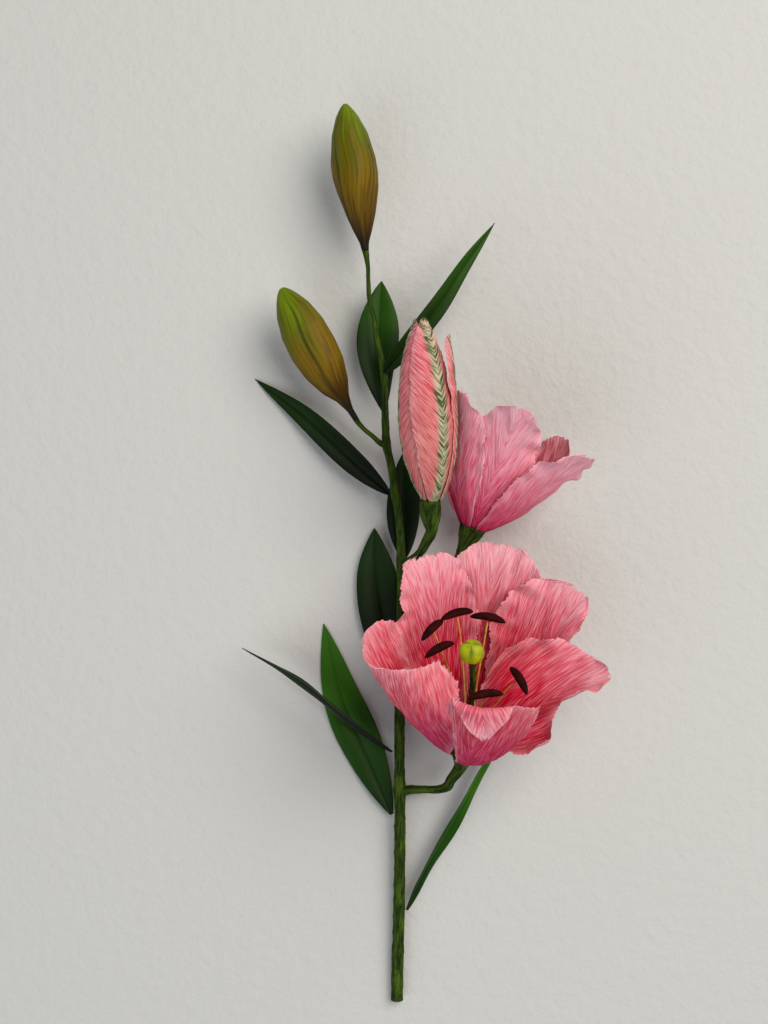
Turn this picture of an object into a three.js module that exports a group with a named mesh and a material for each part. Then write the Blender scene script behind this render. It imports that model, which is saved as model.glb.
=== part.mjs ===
// Paper lily spray: one wrapped wire stem with eight leaves, two closed buds, one half-open bud and two open
// blooms, lying on its back on a table. Millimetres. The origin is the centre of the stem's cut end, +Y runs up the
// stem towards the buds, +X is to the right and +Z points up from the table.

import * as THREE from 'three';
import { mergeVertices } from 'three/addons/utils/BufferGeometryUtils.js';

// ---- driving dimensions ----

const PAPER = 0.6; // glued double layer of crepe paper
const LEAF_PAPER = 0.5; // waxed leaf paper
const GAP = 0.3; // clearance between glued pieces

const WIRE_RADIUS = 1.2; // stem wire
const WIRE_LENGTH = 262; // the wire stops where the stem thins towards the buds
const WRAP_BORE = WIRE_RADIUS + GAP;

const ANTHER = { length: 19, width: 4.6, depth: 3.6, arch: 2.6 };
const FILAMENT_RADIUS = 0.55;
const STIGMA_RADIUS = 6.2;

const PETAL_LIFT = 0.6; // petals start this far above their receptacle
const FOOT_RADII = [3.3, 5, 6.7]; // petals are glued on in three layers, from the inside out
const MIDDLE_FOOT = 5.4; // a little further out in the middle layer, under the petal beside it

// ---- materials ----

function paper(color, roughness) {
  return new THREE.MeshStandardMaterial({ color, roughness, metalness: 0 });
}

const finishes = {
  stem: () => paper('#4d7a2b', 0.7),
  wire: () => new THREE.MeshStandardMaterial({ color: '#9a9c9e', roughness: 0.35, metalness: 1 }),
  leaf: () => paper('#1f5a1c', 0.55),
  petal: () => paper('#e8879a', 0.85),
  closedBud: () => paper('#8a8414', 0.6),
  anther: () => paper('#4a0f0c', 0.8),
  filament: () => paper('#d6a24a', 0.7),
  style: () => paper('#2f5a22', 0.7),
  stigma: () => paper('#a9cc1f', 0.6),
};

// ---- small maths ----

const vec = (x, y, z) => new THREE.Vector3(x, y, z);
const rad = THREE.MathUtils.degToRad;

// Value at s of a list of [s, value] stations, with straight lines between them.
function between(stations, s) {
  const last = stations.length - 1;
  let i = 0;
  while (i < last - 1 && s > stations[i + 1][0]) i += 1;
  const [s0, v0] = stations[i];
  const [s1, v1] = stations[i + 1];
  const t = THREE.MathUtils.clamp((s - s0) / (s1 - s0), 0, 1);
  return v0 + (v1 - v0) * t;
}

// ---- solids ----

function solid(points, faces) {
  const geometry = new THREE.BufferGeometry().setFromPoints(points);
  geometry.setIndex(faces);
  const merged = mergeVertices(geometry, 1e-4);
  merged.computeVertexNormals();
  return merged;
}

// A closed skin through rings of points that all run the same way, with a flat fan at each end.
function loft(rings) {
  const sides = rings[0].length;
  const points = rings.flat();
  const faces = [];
  for (let r = 0; r < rings.length - 1; r += 1) {
    for (let k = 0; k < sides; k += 1) {
      const a = r * sides + k;
      const b = r * sides + ((k + 1) % sides);
      faces.push(a, b, b + sides, a, b + sides, a + sides);
    }
  }
  const closeEnd = (first, turned) => {
    const centre = vec(0, 0, 0);
    for (let k = 0; k < sides; k += 1) centre.add(points[first + k]);
    points.push(centre.divideScalar(sides));
    const hub = points.length - 1;
    for (let k = 0; k < sides; k += 1) {
      const a = first + k;
      const b = first + ((k + 1) % sides);
      if (turned) faces.push(hub, b, a);
      else faces.push(hub, a, b);
    }
  };
  closeEnd(0, true);
  closeEnd((rings.length - 1) * sides, false);
  return solid(points, faces);
}

// Rings square to a route. Each stop is { at: Vector3, r } or { at, r, flat } with flat the depth over the width,
// and lobes adds that many ridges of the given height. The first ring can be held square to the Y axis.
function ringsAlong(stops, sides, { lobes = 0, ridge = 0, squareStart = false, facing = vec(0, 0, 1) } = {}) {
  return stops.map((stop, i) => {
    const before = stops[Math.max(i - 1, 0)].at;
    const after = stops[Math.min(i + 1, stops.length - 1)].at;
    const along = after.clone().sub(before).normalize();
    if (squareStart && i === 0) along.set(0, 1, 0);
    const across = vec(0, 0, 0).crossVectors(along, facing).normalize();
    const up = vec(0, 0, 0).crossVectors(across, along);
    const ring = [];
    for (let k = 0; k < sides; k += 1) {
      const turn = (-2 * Math.PI * k) / sides;
      const reach = stop.r * (1 + ridge * Math.cos(lobes * turn));
      ring.push(
        stop.at
          .clone()
          .addScaledVector(across, reach * Math.cos(turn))
          .addScaledVector(up, reach * (stop.flat ?? 1) * Math.sin(turn)),
      );
    }
    return ring;
  });
}

// Stops on a smooth curve through hand-placed [x, y, z, radius] points.
function stopsThrough(route, steps) {
  const curve = new THREE.CatmullRomCurve3(route.map(([x, y, z]) => vec(x, y, z)), false, 'centripetal');
  const radii = route.map((stop, i) => [i / (route.length - 1), stop[3]]);
  const stops = [];
  for (let i = 0; i <= steps; i += 1) stops.push({ at: curve.getPoint(i / steps), r: between(radii, i / steps) });
  return stops;
}

// A thin closed sheet over surface(u, v), with u along it from 0 to 1 and v across it from -1 to 1.
function sheet(surface, rows, columns, thickness) {
  const grid = [];
  for (let i = 0; i <= rows; i += 1) {
    for (let j = 0; j <= columns; j += 1) grid.push(surface(i / rows, (2 * j) / columns - 1));
  }
  const at = (i, j) => i * (columns + 1) + j;
  const normalAt = (i, j) => {
    const down = grid[at(Math.max(i - 1, 0), j)];
    const up = grid[at(Math.min(i + 1, rows), j)];
    const left = grid[at(i, Math.max(j - 1, 0))];
    const right = grid[at(i, Math.min(j + 1, columns))];
    return vec(0, 0, 0).crossVectors(right.clone().sub(left), up.clone().sub(down)).normalize();
  };
  const front = [];
  const back = [];
  for (let i = 0; i <= rows; i += 1) {
    for (let j = 0; j <= columns; j += 1) {
      const normal = normalAt(i, j);
      front.push(grid[at(i, j)].clone().addScaledVector(normal, thickness / 2));
      back.push(grid[at(i, j)].clone().addScaledVector(normal, -thickness / 2));
    }
  }
  const shift = front.length;
  const faces = [];
  for (let i = 0; i < rows; i += 1) {
    for (let j = 0; j < columns; j += 1) {
      const a = at(i, j);
      const b = at(i, j + 1);
      const c = at(i + 1, j + 1);
      const d = at(i + 1, j);
      faces.push(a, b, c, a, c, d);
      faces.push(a + shift, c + shift, b + shift, a + shift, d + shift, c + shift);
    }
  }
  const rim = [];
  for (let j = 0; j < columns; j += 1) rim.push(at(0, j));
  for (let i = 0; i < rows; i += 1) rim.push(at(i, columns));
  for (let j = columns; j > 0; j -= 1) rim.push(at(rows, j));
  for (let i = rows; i > 0; i -= 1) rim.push(at(i, 0));
  rim.forEach((a, k) => {
    const b = rim[(k + 1) % rim.length];
    faces.push(a, a + shift, b + shift, a, b + shift, b);
  });
  return solid([...front, ...back], faces);
}

function piece(name, geometry, finish) {
  const mesh = new THREE.Mesh(geometry, finishes[finish]());
  mesh.name = name;
  return mesh;
}

// ---- petals ----

// The value of a station list with its corners rounded off, or a plain number as it is.
function smoothly(stations, s) {
  if (typeof stations === 'number') return stations;
  const shifts = [-0.06, -0.03, 0, 0.03, 0.06];
  return shifts.reduce((sum, shift) => sum + between(stations, s + shift), 0) / shifts.length;
}

function compass(azimuth) {
  const out = vec(Math.cos(rad(azimuth)), Math.sin(rad(azimuth)), 0);
  return { out, side: vec(-out.y, out.x, 0) };
}

// An open petal in its flower's own frame, +Z along the flower's axis, as a point for each share u of its length and
// distance off across it. lean lists degrees from the axis up the midrib. Across the midrib the petal bends inward
// with the radii in bends, one list for each half, or else as the wall of a cup does. over rolls the margin of one
// half back outward: [half, where the roll starts, how wide it is, degrees].
function openPetal({ azimuth, length, lean, layer = 0, foot = FOOT_RADII[layer], bends, over }) {
  const steps = 60;
  const rib = [compass(smoothly(azimuth, 0)).out.multiplyScalar(foot).add(vec(0, 0, PETAL_LIFT))];
  for (let i = 0; i < steps; i += 1) {
    const s = (i + 0.5) / steps;
    const angle = rad(smoothly(lean, s));
    const step = compass(smoothly(azimuth, s)).out.multiplyScalar(Math.sin(angle)).add(vec(0, 0, Math.cos(angle)));
    rib.push(rib[i].clone().addScaledVector(step, length / steps));
  }
  return (u, off) => {
    const i = THREE.MathUtils.clamp(Math.floor(u * steps), 0, steps - 1);
    const at = rib[i].clone().lerp(rib[i + 1], Math.max(u, 0) * steps - i);
    const angle = rad(smoothly(lean, u));
    const { out, side } = compass(smoothly(azimuth, u));
    const cup = Math.hypot(at.x, at.y) / Math.max(Math.cos(angle), 0.35);
    const bend = bends ? smoothly(bends[off < 0 ? 0 : 1], u) : cup;
    const slices = 24;
    let sideways = 0;
    let inward = 0;
    for (let k = 0; k < slices; k += 1) {
      const far = (Math.abs(off) * (k + 0.5)) / slices;
      let turn = far / bend;
      if (over && off * over[0] > 0) {
        turn -= rad(smoothly(over[3], u)) * THREE.MathUtils.smoothstep(far, over[1], over[1] + over[2]);
      }
      sideways += (off * Math.cos(turn)) / slices;
      inward += (Math.abs(off) * Math.sin(turn)) / slices;
    }
    const outer = out.multiplyScalar(Math.cos(angle)).sub(vec(0, 0, Math.sin(angle)));
    return at.addScaledVector(side, sideways).addScaledVector(outer, -inward);
  };
}

// The petal's surface as sheet() needs it. fold turns the tip down outside: [share of the length at the crease, how
// many mm later the crease comes for each mm across, radius, degrees]. A higher shoulder puts the widest place
// nearer the tip, a lower blunt squares it, and edges scale each half's width along the petal.
function petalSurface(shape) {
  const { length, halfWidth, footWidth = 2.6, shoulder = 1.6, blunt = 0.45, edges = [1, 1], fold } = shape;
  const opened = openPetal(shape);
  const folded = (u, off) => {
    const [start, slope, radius, degrees] = fold;
    const across = Math.hypot(1, slope);
    const beyond = Math.max(((u - start) * length - off * slope) / across, 0);
    const held = u - beyond / across / length;
    const heldOff = off + (beyond * slope) / across;
    const at = opened(held, heldOff);
    const along = at.clone().sub(opened(held - 0.01 / across, heldOff + (0.01 * length * slope) / across)).normalize();
    const flat = opened(held, heldOff + 0.3).sub(opened(held, heldOff - 0.3));
    const outer = vec(0, 0, 0).crossVectors(flat, along).normalize();
    const turn = Math.min(beyond / radius, rad(degrees));
    const rest = beyond - turn * radius;
    return at
      .addScaledVector(along, radius * Math.sin(turn) + rest * Math.cos(turn))
      .addScaledVector(outer, radius * (1 - Math.cos(turn)) + rest * Math.sin(turn));
  };
  return (u, v) => {
    const outline = footWidth * (1 - u) + halfWidth * Math.sin(Math.PI * u ** shoulder) ** blunt;
    const off = v * Math.max(outline * smoothly(edges[v < 0 ? 0 : 1], u), 0.8);
    return fold ? folded(u, off) : opened(u, off);
  };
}

// A group whose +Z points along axis, with its +X kept as near the spray's own +X as it can be.
function flowerFrame(at, axis) {
  const up = axis.clone().normalize();
  const right = vec(1, 0, 0).addScaledVector(up, -up.x).normalize();
  const side = vec(0, 0, 0).crossVectors(up, right);
  const group = new THREE.Group();
  group.setRotationFromMatrix(new THREE.Matrix4().makeBasis(right, side, up));
  group.position.copy(at);
  return group;
}

// The green swelling under a flower: profile is [radius, height below the petals' feet] pairs from the bottom up.
function receptacle(name, profile) {
  const stops = profile.map(([r, height]) => ({ at: vec(0, 0, height), r }));
  return piece(name, loft(ringsAlong(stops, 12, { facing: vec(0, 1, 0) })), 'stem');
}

// ---- stem, wire and stalks ----

const stemRoute = [
  [0, 0, 0, 3.35],
  [0.2, 17, 1, 3.3],
  [1.1, 52, 3, 3.15],
  [1.6, 102, 5, 3],
  [1.3, 137, 7, 2.85],
  [1.4, 162, 8, 2.8],
  [2.1, 209, 10, 2.5],
  [2, 250, 13, 2.2],
  [1, 264, 14, 2.15],
  [-0.9, 278, 15, 2.1],
  [-3, 292, 16, 2.1],
  [-5.6, 304, 17, 2.1],
  [-6.5, 319, 18, 2],
  [-6.8, 332, 19, 1.85],
  [-7.2, 342, 19.5, 1.75],
  [-8.9, 351.5, 20, 1.65],
  [-11.2, 362, 20.5, 1.5],
  [-12.5, 372, 21, 1.35],
  [-14.8, 381, 21.5, 1.25],
  [-15.5, 391, 22, 1.15],
  [-15.8, 400, 22.5, 1.15],
  [-16.8, 406.5, 22.9, 1.3],
];

// The crepe wrap is hollow up to the end of the wire, so it is one skin: up the outside, back down the bore.
function stemWrap() {
  const sides = 12;
  const outside = ringsAlong(stopsThrough(stemRoute, 42), sides, { squareStart: true });
  const bore = ringsAlong(boreStops(WRAP_BORE, WIRE_LENGTH + 2), sides, { squareStart: true });
  const points = [...outside.flat(), ...bore.flat()];
  const faces = [];
  const band = (first, second) => {
    for (let k = 0; k < sides; k += 1) {
      const next = (k + 1) % sides;
      faces.push(first + k, first + next, second + next, first + k, second + next, second + k);
    }
  };
  const boreStart = outside.length * sides;
  for (let r = 0; r < outside.length - 1; r += 1) band(r * sides, (r + 1) * sides);
  for (let r = 0; r < bore.length - 1; r += 1) band(boreStart + (r + 1) * sides, boreStart + r * sides);
  band(boreStart, 0);
  const cap = (first, turned) => {
    for (let k = 1; k < sides - 1; k += 1) {
      if (turned) faces.push(first, first + k + 1, first + k);
      else faces.push(first, first + k, first + k + 1);
    }
  };
  cap((outside.length - 1) * sides, false);
  cap(boreStart + (bore.length - 1) * sides, true);
  return piece('stem_wrap', solid(points, faces), 'stem');
}

// Stops of one radius along the stem's centre line, up to the given height on Y.
function boreStops(r, top) {
  const centre = stopsThrough(stemRoute, 42).filter((stop) => stop.at.y < top - 3);
  const last = centre[centre.length - 1].at;
  const end = stopsThrough(stemRoute, 400).find((stop) => stop.at.y >= top);
  return [...centre.filter((stop) => stop.at !== last), end].map(({ at }) => ({ at, r }));
}

function stemWire() {
  return piece('stem_wire', loft(ringsAlong(boreStops(WIRE_RADIUS, WIRE_LENGTH), 12, { squareStart: true })), 'wire');
}

function stalk(name, route) {
  return piece(name, loft(ringsAlong(stopsThrough(route, route.length * 2), 10)), 'stem');
}

function stalks() {
  return [
    stalk('left_bud_stalk', [
      [-9.3, 305.6, 18.2, 1.4],
      [-13, 308.9, 19, 1.3],
      [-18.2, 313.2, 20, 1.2],
      [-21.4, 316.9, 20.4, 1.3],
    ]),
    stalk('half_open_bud_stalk', [
      [4.6, 241.5, 16.8, 1.7],
      [7.4, 243, 22, 2],
      [11.6, 246.6, 32, 2.2],
      [15.2, 253.8, 41.5, 2.6],
    ]),
    stalk('back_bloom_stalk', [
      [5.6, 195, 7.4, 1.8],
      [12, 203, 8.5, 2.1],
      [23, 222, 13.5, 2.3],
      [31, 238, 17.4, 2.5],
      [34.6, 246.4, 20.4, 2.9],
    ]),
    stalk('front_bloom_stalk', [
      [5.3, 116.4, 6.2, 2.2],
      [12, 117, 7.4, 2.1],
      [21, 118.6, 10.5, 2.2],
      [27.4, 123.2, 15.2, 2.4],
      [31.2, 129.2, 19.4, 2.9],
    ]),
  ];
}

// ---- leaves ----

// A leaf folded along its midrib. spine is hand-placed, roll turns the blade about the spine and fold lifts each half.
function leaf(name, { spine, halfWidth, roll = 0, fold = 14, belly = 0.45 }) {
  const curve = new THREE.CatmullRomCurve3(spine.map(([x, y, z]) => vec(x, y, z)));
  const peak = Math.log(0.5) / Math.log(belly);
  const surface = (u, v) => {
    const along = curve.getTangent(u);
    const flat = vec(0, 0, 0).crossVectors(along, vec(0, 0, 1)).normalize();
    const across = flat.clone().applyAxisAngle(along, rad(roll));
    const up = vec(0, 0, 0).crossVectors(across, along);
    const wide = Math.max(halfWidth * Math.sin(Math.PI * u ** peak) ** 0.85, 0.5) + 0.9 * (1 - u);
    return curve
      .getPoint(u)
      .addScaledVector(across, v * wide * Math.cos(rad(fold)))
      .addScaledVector(up, Math.abs(v) * wide * Math.sin(rad(fold)));
  };
  return piece(name, sheet(surface, 10, 4, LEAF_PAPER), 'leaf');
}

function leaves() {
  return [
    leaf('leaf_top_right', {
      spine: [[-6.9, 343, 22.4], [0.6, 352.2, 24], [20.8, 377.2, 27], [36.8, 401.4, 28], [51.7, 422.2, 26]],
      halfWidth: 5.2,
      roll: 20,
    }),
    leaf('leaf_upper_back', {
      spine: [[-7.2, 322.4, 14.6], [-10.8, 350.7, 11], [-9.8, 372.7, 9.5], [-8.5, 393.8, 11]],
      halfWidth: 11.4,
      fold: 10,
      belly: 0.52,
    }),
    leaf('leaf_left', {
      spine: [[-4.4, 278.3, 13.8], [-24.4, 296, 8], [-51.6, 321.4, 1.6], [-78.3, 341.8, -3.05]],
      halfWidth: 6.6,
      fold: 12,
    }),
    leaf('leaf_middle_back', {
      spine: [[3.6, 243, 8.6], [3.2, 264, 6], [4.2, 285, 4.5], [5, 304, 4.6]],
      halfWidth: 9,
      fold: 10,
    }),
    leaf('leaf_dark_back', {
      spine: [[0.5, 171, 3.6], [-6.4, 205, 1.5], [-11.4, 236.5, 0], [-12.4, 259.6, 1]],
      halfWidth: 12.6,
      fold: 8,
    }),
    leaf('leaf_lower_left', {
      spine: [[-2.8, 102.5, 2.4], [-16.4, 134, -1.4], [-30.6, 167, -2.95], [-40.5, 206.6, -2.6]],
      halfWidth: 11.4,
      fold: 6,
      belly: 0.5,
    }),
    leaf('leaf_left_narrow', {
      spine: [[-2.6, 138.2, 11], [-25.2, 155.6, 13], [-52.2, 177.4, 13], [-84.3, 194.5, 10]],
      halfWidth: 6.5,
      roll: -66,
      fold: 12,
    }),
    leaf('leaf_right_narrow', {
      spine: [[5.2, 50.4, 3.6], [16, 73.6, 5], [32.4, 101.4, 6], [47.6, 130, 7], [58.4, 144.4, 8]],
      halfWidth: 4.2,
      roll: 45,
      fold: 14,
    }),
  ];
}

// ---- closed buds ----

// A blunt three-ridged bud on a hand-placed route; girth lists [s, radius] from its neck to its tip.
function closedBud(name, route, girth) {
  const curve = new THREE.CatmullRomCurve3(route.map(([x, y, z]) => vec(x, y, z)), false, 'centripetal');
  const stops = girth.map(([s, r]) => ({ at: curve.getPointAt(s), r }));
  return piece(name, loft(ringsAlong(stops, 12, { lobes: 3, ridge: 0.05 })), 'closedBud');
}

function closedBuds() {
  return [
    closedBud('top_bud', [[-17.2, 408.2, 23.1], [-21.2, 440, 24.4], [-27.9, 485.5, 26]], [
      [0, 1.9], [0.05, 2.4], [0.15, 5.3], [0.25, 7.8], [0.42, 11], [0.52, 12], [0.62, 11.9],
      [0.8, 9.4], [0.92, 5.8], [0.98, 2.8], [1, 1.2],
    ]),
    closedBud('left_bud', [[-21.9, 317.8, 20.6], [-28.8, 329, 21], [-45.4, 357.4, 22.5], [-61.8, 387.8, 24]], [
      [0, 1.5], [0.08, 1.7], [0.17, 3.8], [0.26, 7.8], [0.4, 11.4], [0.55, 12.8], [0.7, 12.2],
      [0.84, 9.4], [0.93, 5.9], [0.98, 3.2], [1, 1.3],
    ]),
  ];
}

// ---- half-open bud ----

const budLean = [[0, 34], [0.15, 18], [0.4, 2], [0.6, -6], [0.8, -15], [1, -26]];

function halfOpenBud() {
  const group = flowerFrame(vec(16.7, 273.4, 46.5), vec(-0.06, 0.975, 0.21));
  const petal = (name, columns, shape) => {
    const surface = petalSurface({ lean: budLean, footWidth: 2, shoulder: 1.15, blunt: 0.6, ...shape });
    group.add(piece(`half_open_bud_${name}`, sheet(surface, 9, columns, PAPER), 'petal'));
  };
  petal('outer_petal_left', 6, { azimuth: 180, length: 99, halfWidth: 13.8, foot: 2.7, edges: [1, 1.2] });
  petal('outer_petal_front', 6, {
    azimuth: -55,
    length: 99,
    halfWidth: 14.4,
    foot: 4.1,
    edges: [1.12, [[0, 0.6], [0.4, 0.6], [0.6, 0.5], [1, 0.5]]],
  });
  petal('outer_petal_right', 6, {
    azimuth: -4,
    length: 88,
    halfWidth: 13.8,
    foot: 5.5,
    shoulder: 1.4,
    blunt: 0.3,
    lean: [[0, 34], [0.15, 18], [0.4, 4], [0.6, 1], [0.8, -3], [1, -8]],
    edges: [[[0, 0.6], [0.5, 0.45], [0.8, 0.8], [1, 0.9]], [[0, 0.7], [0.4, 0.2], [0.7, 0.2], [1, 0.5]]],
  });
  petal('inner_petal_right', 4, { azimuth: 0, length: 86, halfWidth: 8, foot: 1.5, footWidth: 1 });
  petal('inner_petal_back', 4, { azimuth: 120, length: 86, halfWidth: 9, foot: 1.5, footWidth: 1 });
  petal('inner_petal_left', 4, { azimuth: -120, length: 90, halfWidth: 10, foot: 1.4, footWidth: 1 });
  group.add(receptacle('half_open_bud_receptacle', [[2.6, -17], [3.2, -13], [3.9, -7], [4.4, -2], [4.6, 0]]));
  return group;
}

// ---- back bloom, facing away up the stem ----

function backBloom() {
  const group = flowerFrame(vec(39.7, 258.8, 22.2), vec(0.371, 0.918, 0.139));
  const open = [[0, 48], [0.2, 34], [0.5, 22], [0.75, 24], [1, 40]];
  const wide = [[0, 52], [0.2, 40], [0.5, 30], [0.75, 32], [1, 46]];
  const flattened = [[0, 48], [0.2, 42], [0.45, 28], [0.7, 10], [1, 6]]; // pressed flat where it lies on the table
  const petals = [
    { name: 'left', layer: 1, azimuth: -145, length: 79, halfWidth: 16, lean: open },
    { name: 'top', layer: 0, azimuth: -98, length: 84, halfWidth: 17, lean: open },
    { name: 'right', layer: 1, azimuth: -42, length: 77, halfWidth: 19, lean: wide, edges: [1, 1] },
    { name: 'lower_right', layer: 2, azimuth: 32, length: 72, halfWidth: 17, lean: flattened },
    { name: 'bottom', layer: 1, azimuth: 90, length: 72, halfWidth: 17, lean: flattened },
    { name: 'lower_left', layer: 2, azimuth: 155, length: 68, halfWidth: 16.5, lean: flattened },
  ];
  for (const { name, ...shape } of petals) {
    group.add(piece(`back_bloom_petal_${name}`, sheet(petalSurface(shape), 10, 6, PAPER), 'petal'));
  }
  for (let k = 0; k < 6; k += 1) {
    const turn = rad(60 * k + 30);
    const at = (reach, height) => vec(reach * Math.cos(turn), reach * Math.sin(turn), height);
    const stops = [
      { at: at(1.9, 0.6), r: 0.6 },
      { at: at(3.4, 18), r: 0.6 },
      { at: at(6.4, 34), r: 0.6 },
      { at: at(9, 43), r: 0.8 },
      { at: at(10, 46), r: 1.9 },
      { at: at(12, 51), r: 2.2 },
      { at: at(14.6, 56.5), r: 1.7 },
      { at: at(16.2, 59), r: 0.6 },
    ];
    group.add(piece(`back_bloom_stamen_${k + 1}`, loft(ringsAlong(stops, 8, { facing: at(1, 0) })), 'filament'));
  }
  const pistil = [[0.6, 0.9], [20, 1.1], [44, 1.1], [50, 1.4], [52, 3.4], [55, 4.4], [58.5, 4], [60.4, 1.8]];
  const stops = pistil.map(([height, r]) => ({ at: vec(0, 0, height), r }));
  group.add(piece('back_bloom_pistil', loft(ringsAlong(stops, 10, { facing: vec(0, 1, 0) })), 'style'));
  group.add(receptacle('back_bloom_receptacle', [[3.2, -12.5], [3.6, -9], [4.8, -4.5], [6.6, -1.6], [7.4, 0]]));
  return group;
}

// ---- front bloom ----

function frontPetals() {
  return [
    {
      name: 'back_left',
      foot: MIDDLE_FOOT,
      azimuth: 112,
      length: 105,
      halfWidth: 23,
      shoulder: 1.6,
      blunt: 0.28,
      lean: [[0, 52], [0.2, 48], [0.45, 36], [0.7, 28], [0.88, 34], [1, 60]],
      bends: [[[0, 6], [0.3, 34], [1, 46]], [[0, 6], [0.3, 44], [0.6, 60], [1, 60]]],
      edges: [
        [[0, 0.3], [0.2, 0.5], [0.4, 0.65], [0.6, 0.95], [1, 0.8]],
        [[0, 0.4], [0.2, 0.8], [0.35, 1.1], [0.6, 1.1], [0.8, 1], [1, 1.1]],
      ],
    },
    {
      name: 'back',
      layer: 2,
      azimuth: 83,
      length: 110,
      halfWidth: 25,
      shoulder: 1.5,
      blunt: 0.36,
      lean: [[0, 60], [0.2, 52], [0.45, 38], [0.7, 26], [0.88, 33], [1, 60]],
      bends: [[[0, 8], [0.3, 70], [1, 100]], [[0, 8], [0.3, 70], [1, 90]]],
      edges: [[[0, 1], [0.7, 1.1], [1, 1.3]], 1],
    },
    {
      name: 'right_back',
      foot: MIDDLE_FOOT,
      azimuth: 43,
      length: 103,
      halfWidth: 25,
      shoulder: 1.4,
      blunt: 0.42,
      lean: [[0, 56], [0.2, 53], [0.45, 42], [0.7, 31], [0.88, 40], [1, 60]],
      bends: [[[0, 6], [0.3, 50], [0.7, 90], [1, 90]], [[0, 6], [0.3, 30], [1, 34]]],
      edges: [
        [[0, 0.6], [0.2, 0.8], [0.4, 0.65], [0.6, 0.4], [0.75, 0.36], [0.9, 0.6], [1, 0.5]],
        [[0, 0.4], [0.2, 0.6], [0.5, 1.1], [0.8, 1.5], [1, 1.3]],
      ],
    },
    {
      name: 'right',
      layer: 0,
      azimuth: [[0, 10], [0.45, 18], [1, -2]],
      length: 87,
      halfWidth: 24,
      shoulder: 1.2,
      blunt: 0.6,
      lean: [[0, 42], [0.2, 46], [0.4, 52], [0.6, 54], [0.8, 56], [1, 64]],
      bends: [[[0, 6], [0.2, 9], [0.8, 9], [1, 12]], [[0, 6], [0.2, 12], [0.4, 18], [0.6, 22], [1, 28]]],
      over: [-1, 9, 10, [[0, 0], [0.2, 60], [0.3, 150], [0.5, 150], [0.7, 100], [1, 60]]],
      edges: [
        [[0, 1], [0.2, 1.2], [0.4, 1.5], [0.5, 1.3], [0.6, 0.8], [0.7, 0.65], [1, 1]],
        [[0, 0.8], [0.4, 1.7], [0.6, 1.7], [0.75, 1.4], [1, 1]],
      ],
    },
    {
      name: 'front',
      layer: 1,
      azimuth: -97,
      length: 119,
      halfWidth: 26,
      shoulder: 1.05,
      blunt: 0.7,
      lean: [[0, 52], [0.2, 40], [0.45, 16], [0.7, 4], [1, 0]],
      bends: [[[0, 6], [0.2, 20], [1, 26]], [[0, 6], [0.2, 22], [0.5, 32], [1, 32]]],
      fold: [0.81, 0.1, 2.2, 165],
      edges: [
        [[0, 0.5], [0.2, 0.25], [0.4, 0.25], [0.6, 0.4], [0.75, 0.85], [0.85, 0.8], [1, 0.5]],
        [[0, 1], [0.3, 1.1], [0.5, 1.4], [0.7, 1.5], [0.8, 1], [1, 0.5]],
      ],
    },
    {
      name: 'left',
      layer: 2,
      azimuth: -180,
      length: 93,
      halfWidth: 30,
      shoulder: 1.3,
      blunt: 0.4,
      lean: [[0, 44], [0.4, 39], [0.7, 33], [1, 26]],
      bends: [[[0, 8], [0.2, 16], [0.5, 25], [1, 50]], [[0, 8], [0.2, 20], [0.5, 21], [0.75, 17], [1, 15]]],
      edges: [
        [[0, 0.4], [0.5, 0.6], [0.7, 0.85], [0.85, 1.4], [1, 1]],
        [[0, 0.6], [0.15, 0.9], [0.3, 1.3], [0.6, 1.65], [0.8, 1.85], [1, 1.3]],
      ],
    },
  ];
}

// Anthers hang across the tips of their filaments: azimuth, reach and height place the tip, turn swings the anther.
const stamens = [
  { root: 130, azimuth: 132, reach: 36, height: 66, turn: 11 },
  { root: 95, azimuth: 108, reach: 37, height: 69.5, turn: 6 },
  { root: 58, azimuth: 82, reach: 37, height: 66.5, turn: 0 },
  { root: 172, azimuth: 151, reach: 24, height: 68, turn: -24 },
  { root: -100, azimuth: -87, reach: 17, height: 68, turn: 12 },
  { root: -25, azimuth: -8, reach: 19, height: 65, turn: 31 },
];

function stamen({ root, azimuth, reach, height, turn }, number) {
  const outward = vec(Math.cos(rad(azimuth)), Math.sin(rad(azimuth)), 0);
  const around = vec(-outward.y, outward.x, 0);
  const lie = around.clone().multiplyScalar(Math.cos(rad(turn))).addScaledVector(outward, -Math.sin(rad(turn)));
  const up = vec(0, 0, 1);
  const place = (out, high) => outward.clone().multiplyScalar(out).addScaledVector(up, high);
  const under = ANTHER.depth / 2 + 2 * GAP;
  const foot = vec(2.4 * Math.cos(rad(root)), 2.4 * Math.sin(rad(root)), 0.8);
  const filament = [
    { at: foot, r: FILAMENT_RADIUS },
    { at: foot.clone().multiplyScalar(0.7).add(place(1 + reach * 0.14, height * 0.3)), r: FILAMENT_RADIUS },
    { at: place(2.3 + reach * 0.42, height * 0.62), r: FILAMENT_RADIUS },
    { at: place(reach * 0.82, height * 0.88), r: FILAMENT_RADIUS * 0.9 },
    { at: place(reach, height - under), r: FILAMENT_RADIUS * 0.8 },
  ];
  const anther = [];
  for (const [s, r] of [[-0.5, 0.25], [-0.42, 0.6], [-0.25, 0.9], [0, 1], [0.25, 0.9], [0.42, 0.6], [0.5, 0.25]]) {
    const at = place(reach, height).addScaledVector(lie, s * ANTHER.length);
    at.addScaledVector(up, -ANTHER.arch * 4 * s * s);
    anther.push({ at, r: (r * ANTHER.width) / 2, flat: ANTHER.depth / ANTHER.width });
  }
  return [
    piece(`filament_${number}`, loft(ringsAlong(filament, 6, { facing: outward })), 'filament'),
    piece(`anther_${number}`, loft(ringsAlong(anther, 8, { facing: up })), 'anther'),
  ];
}

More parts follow.
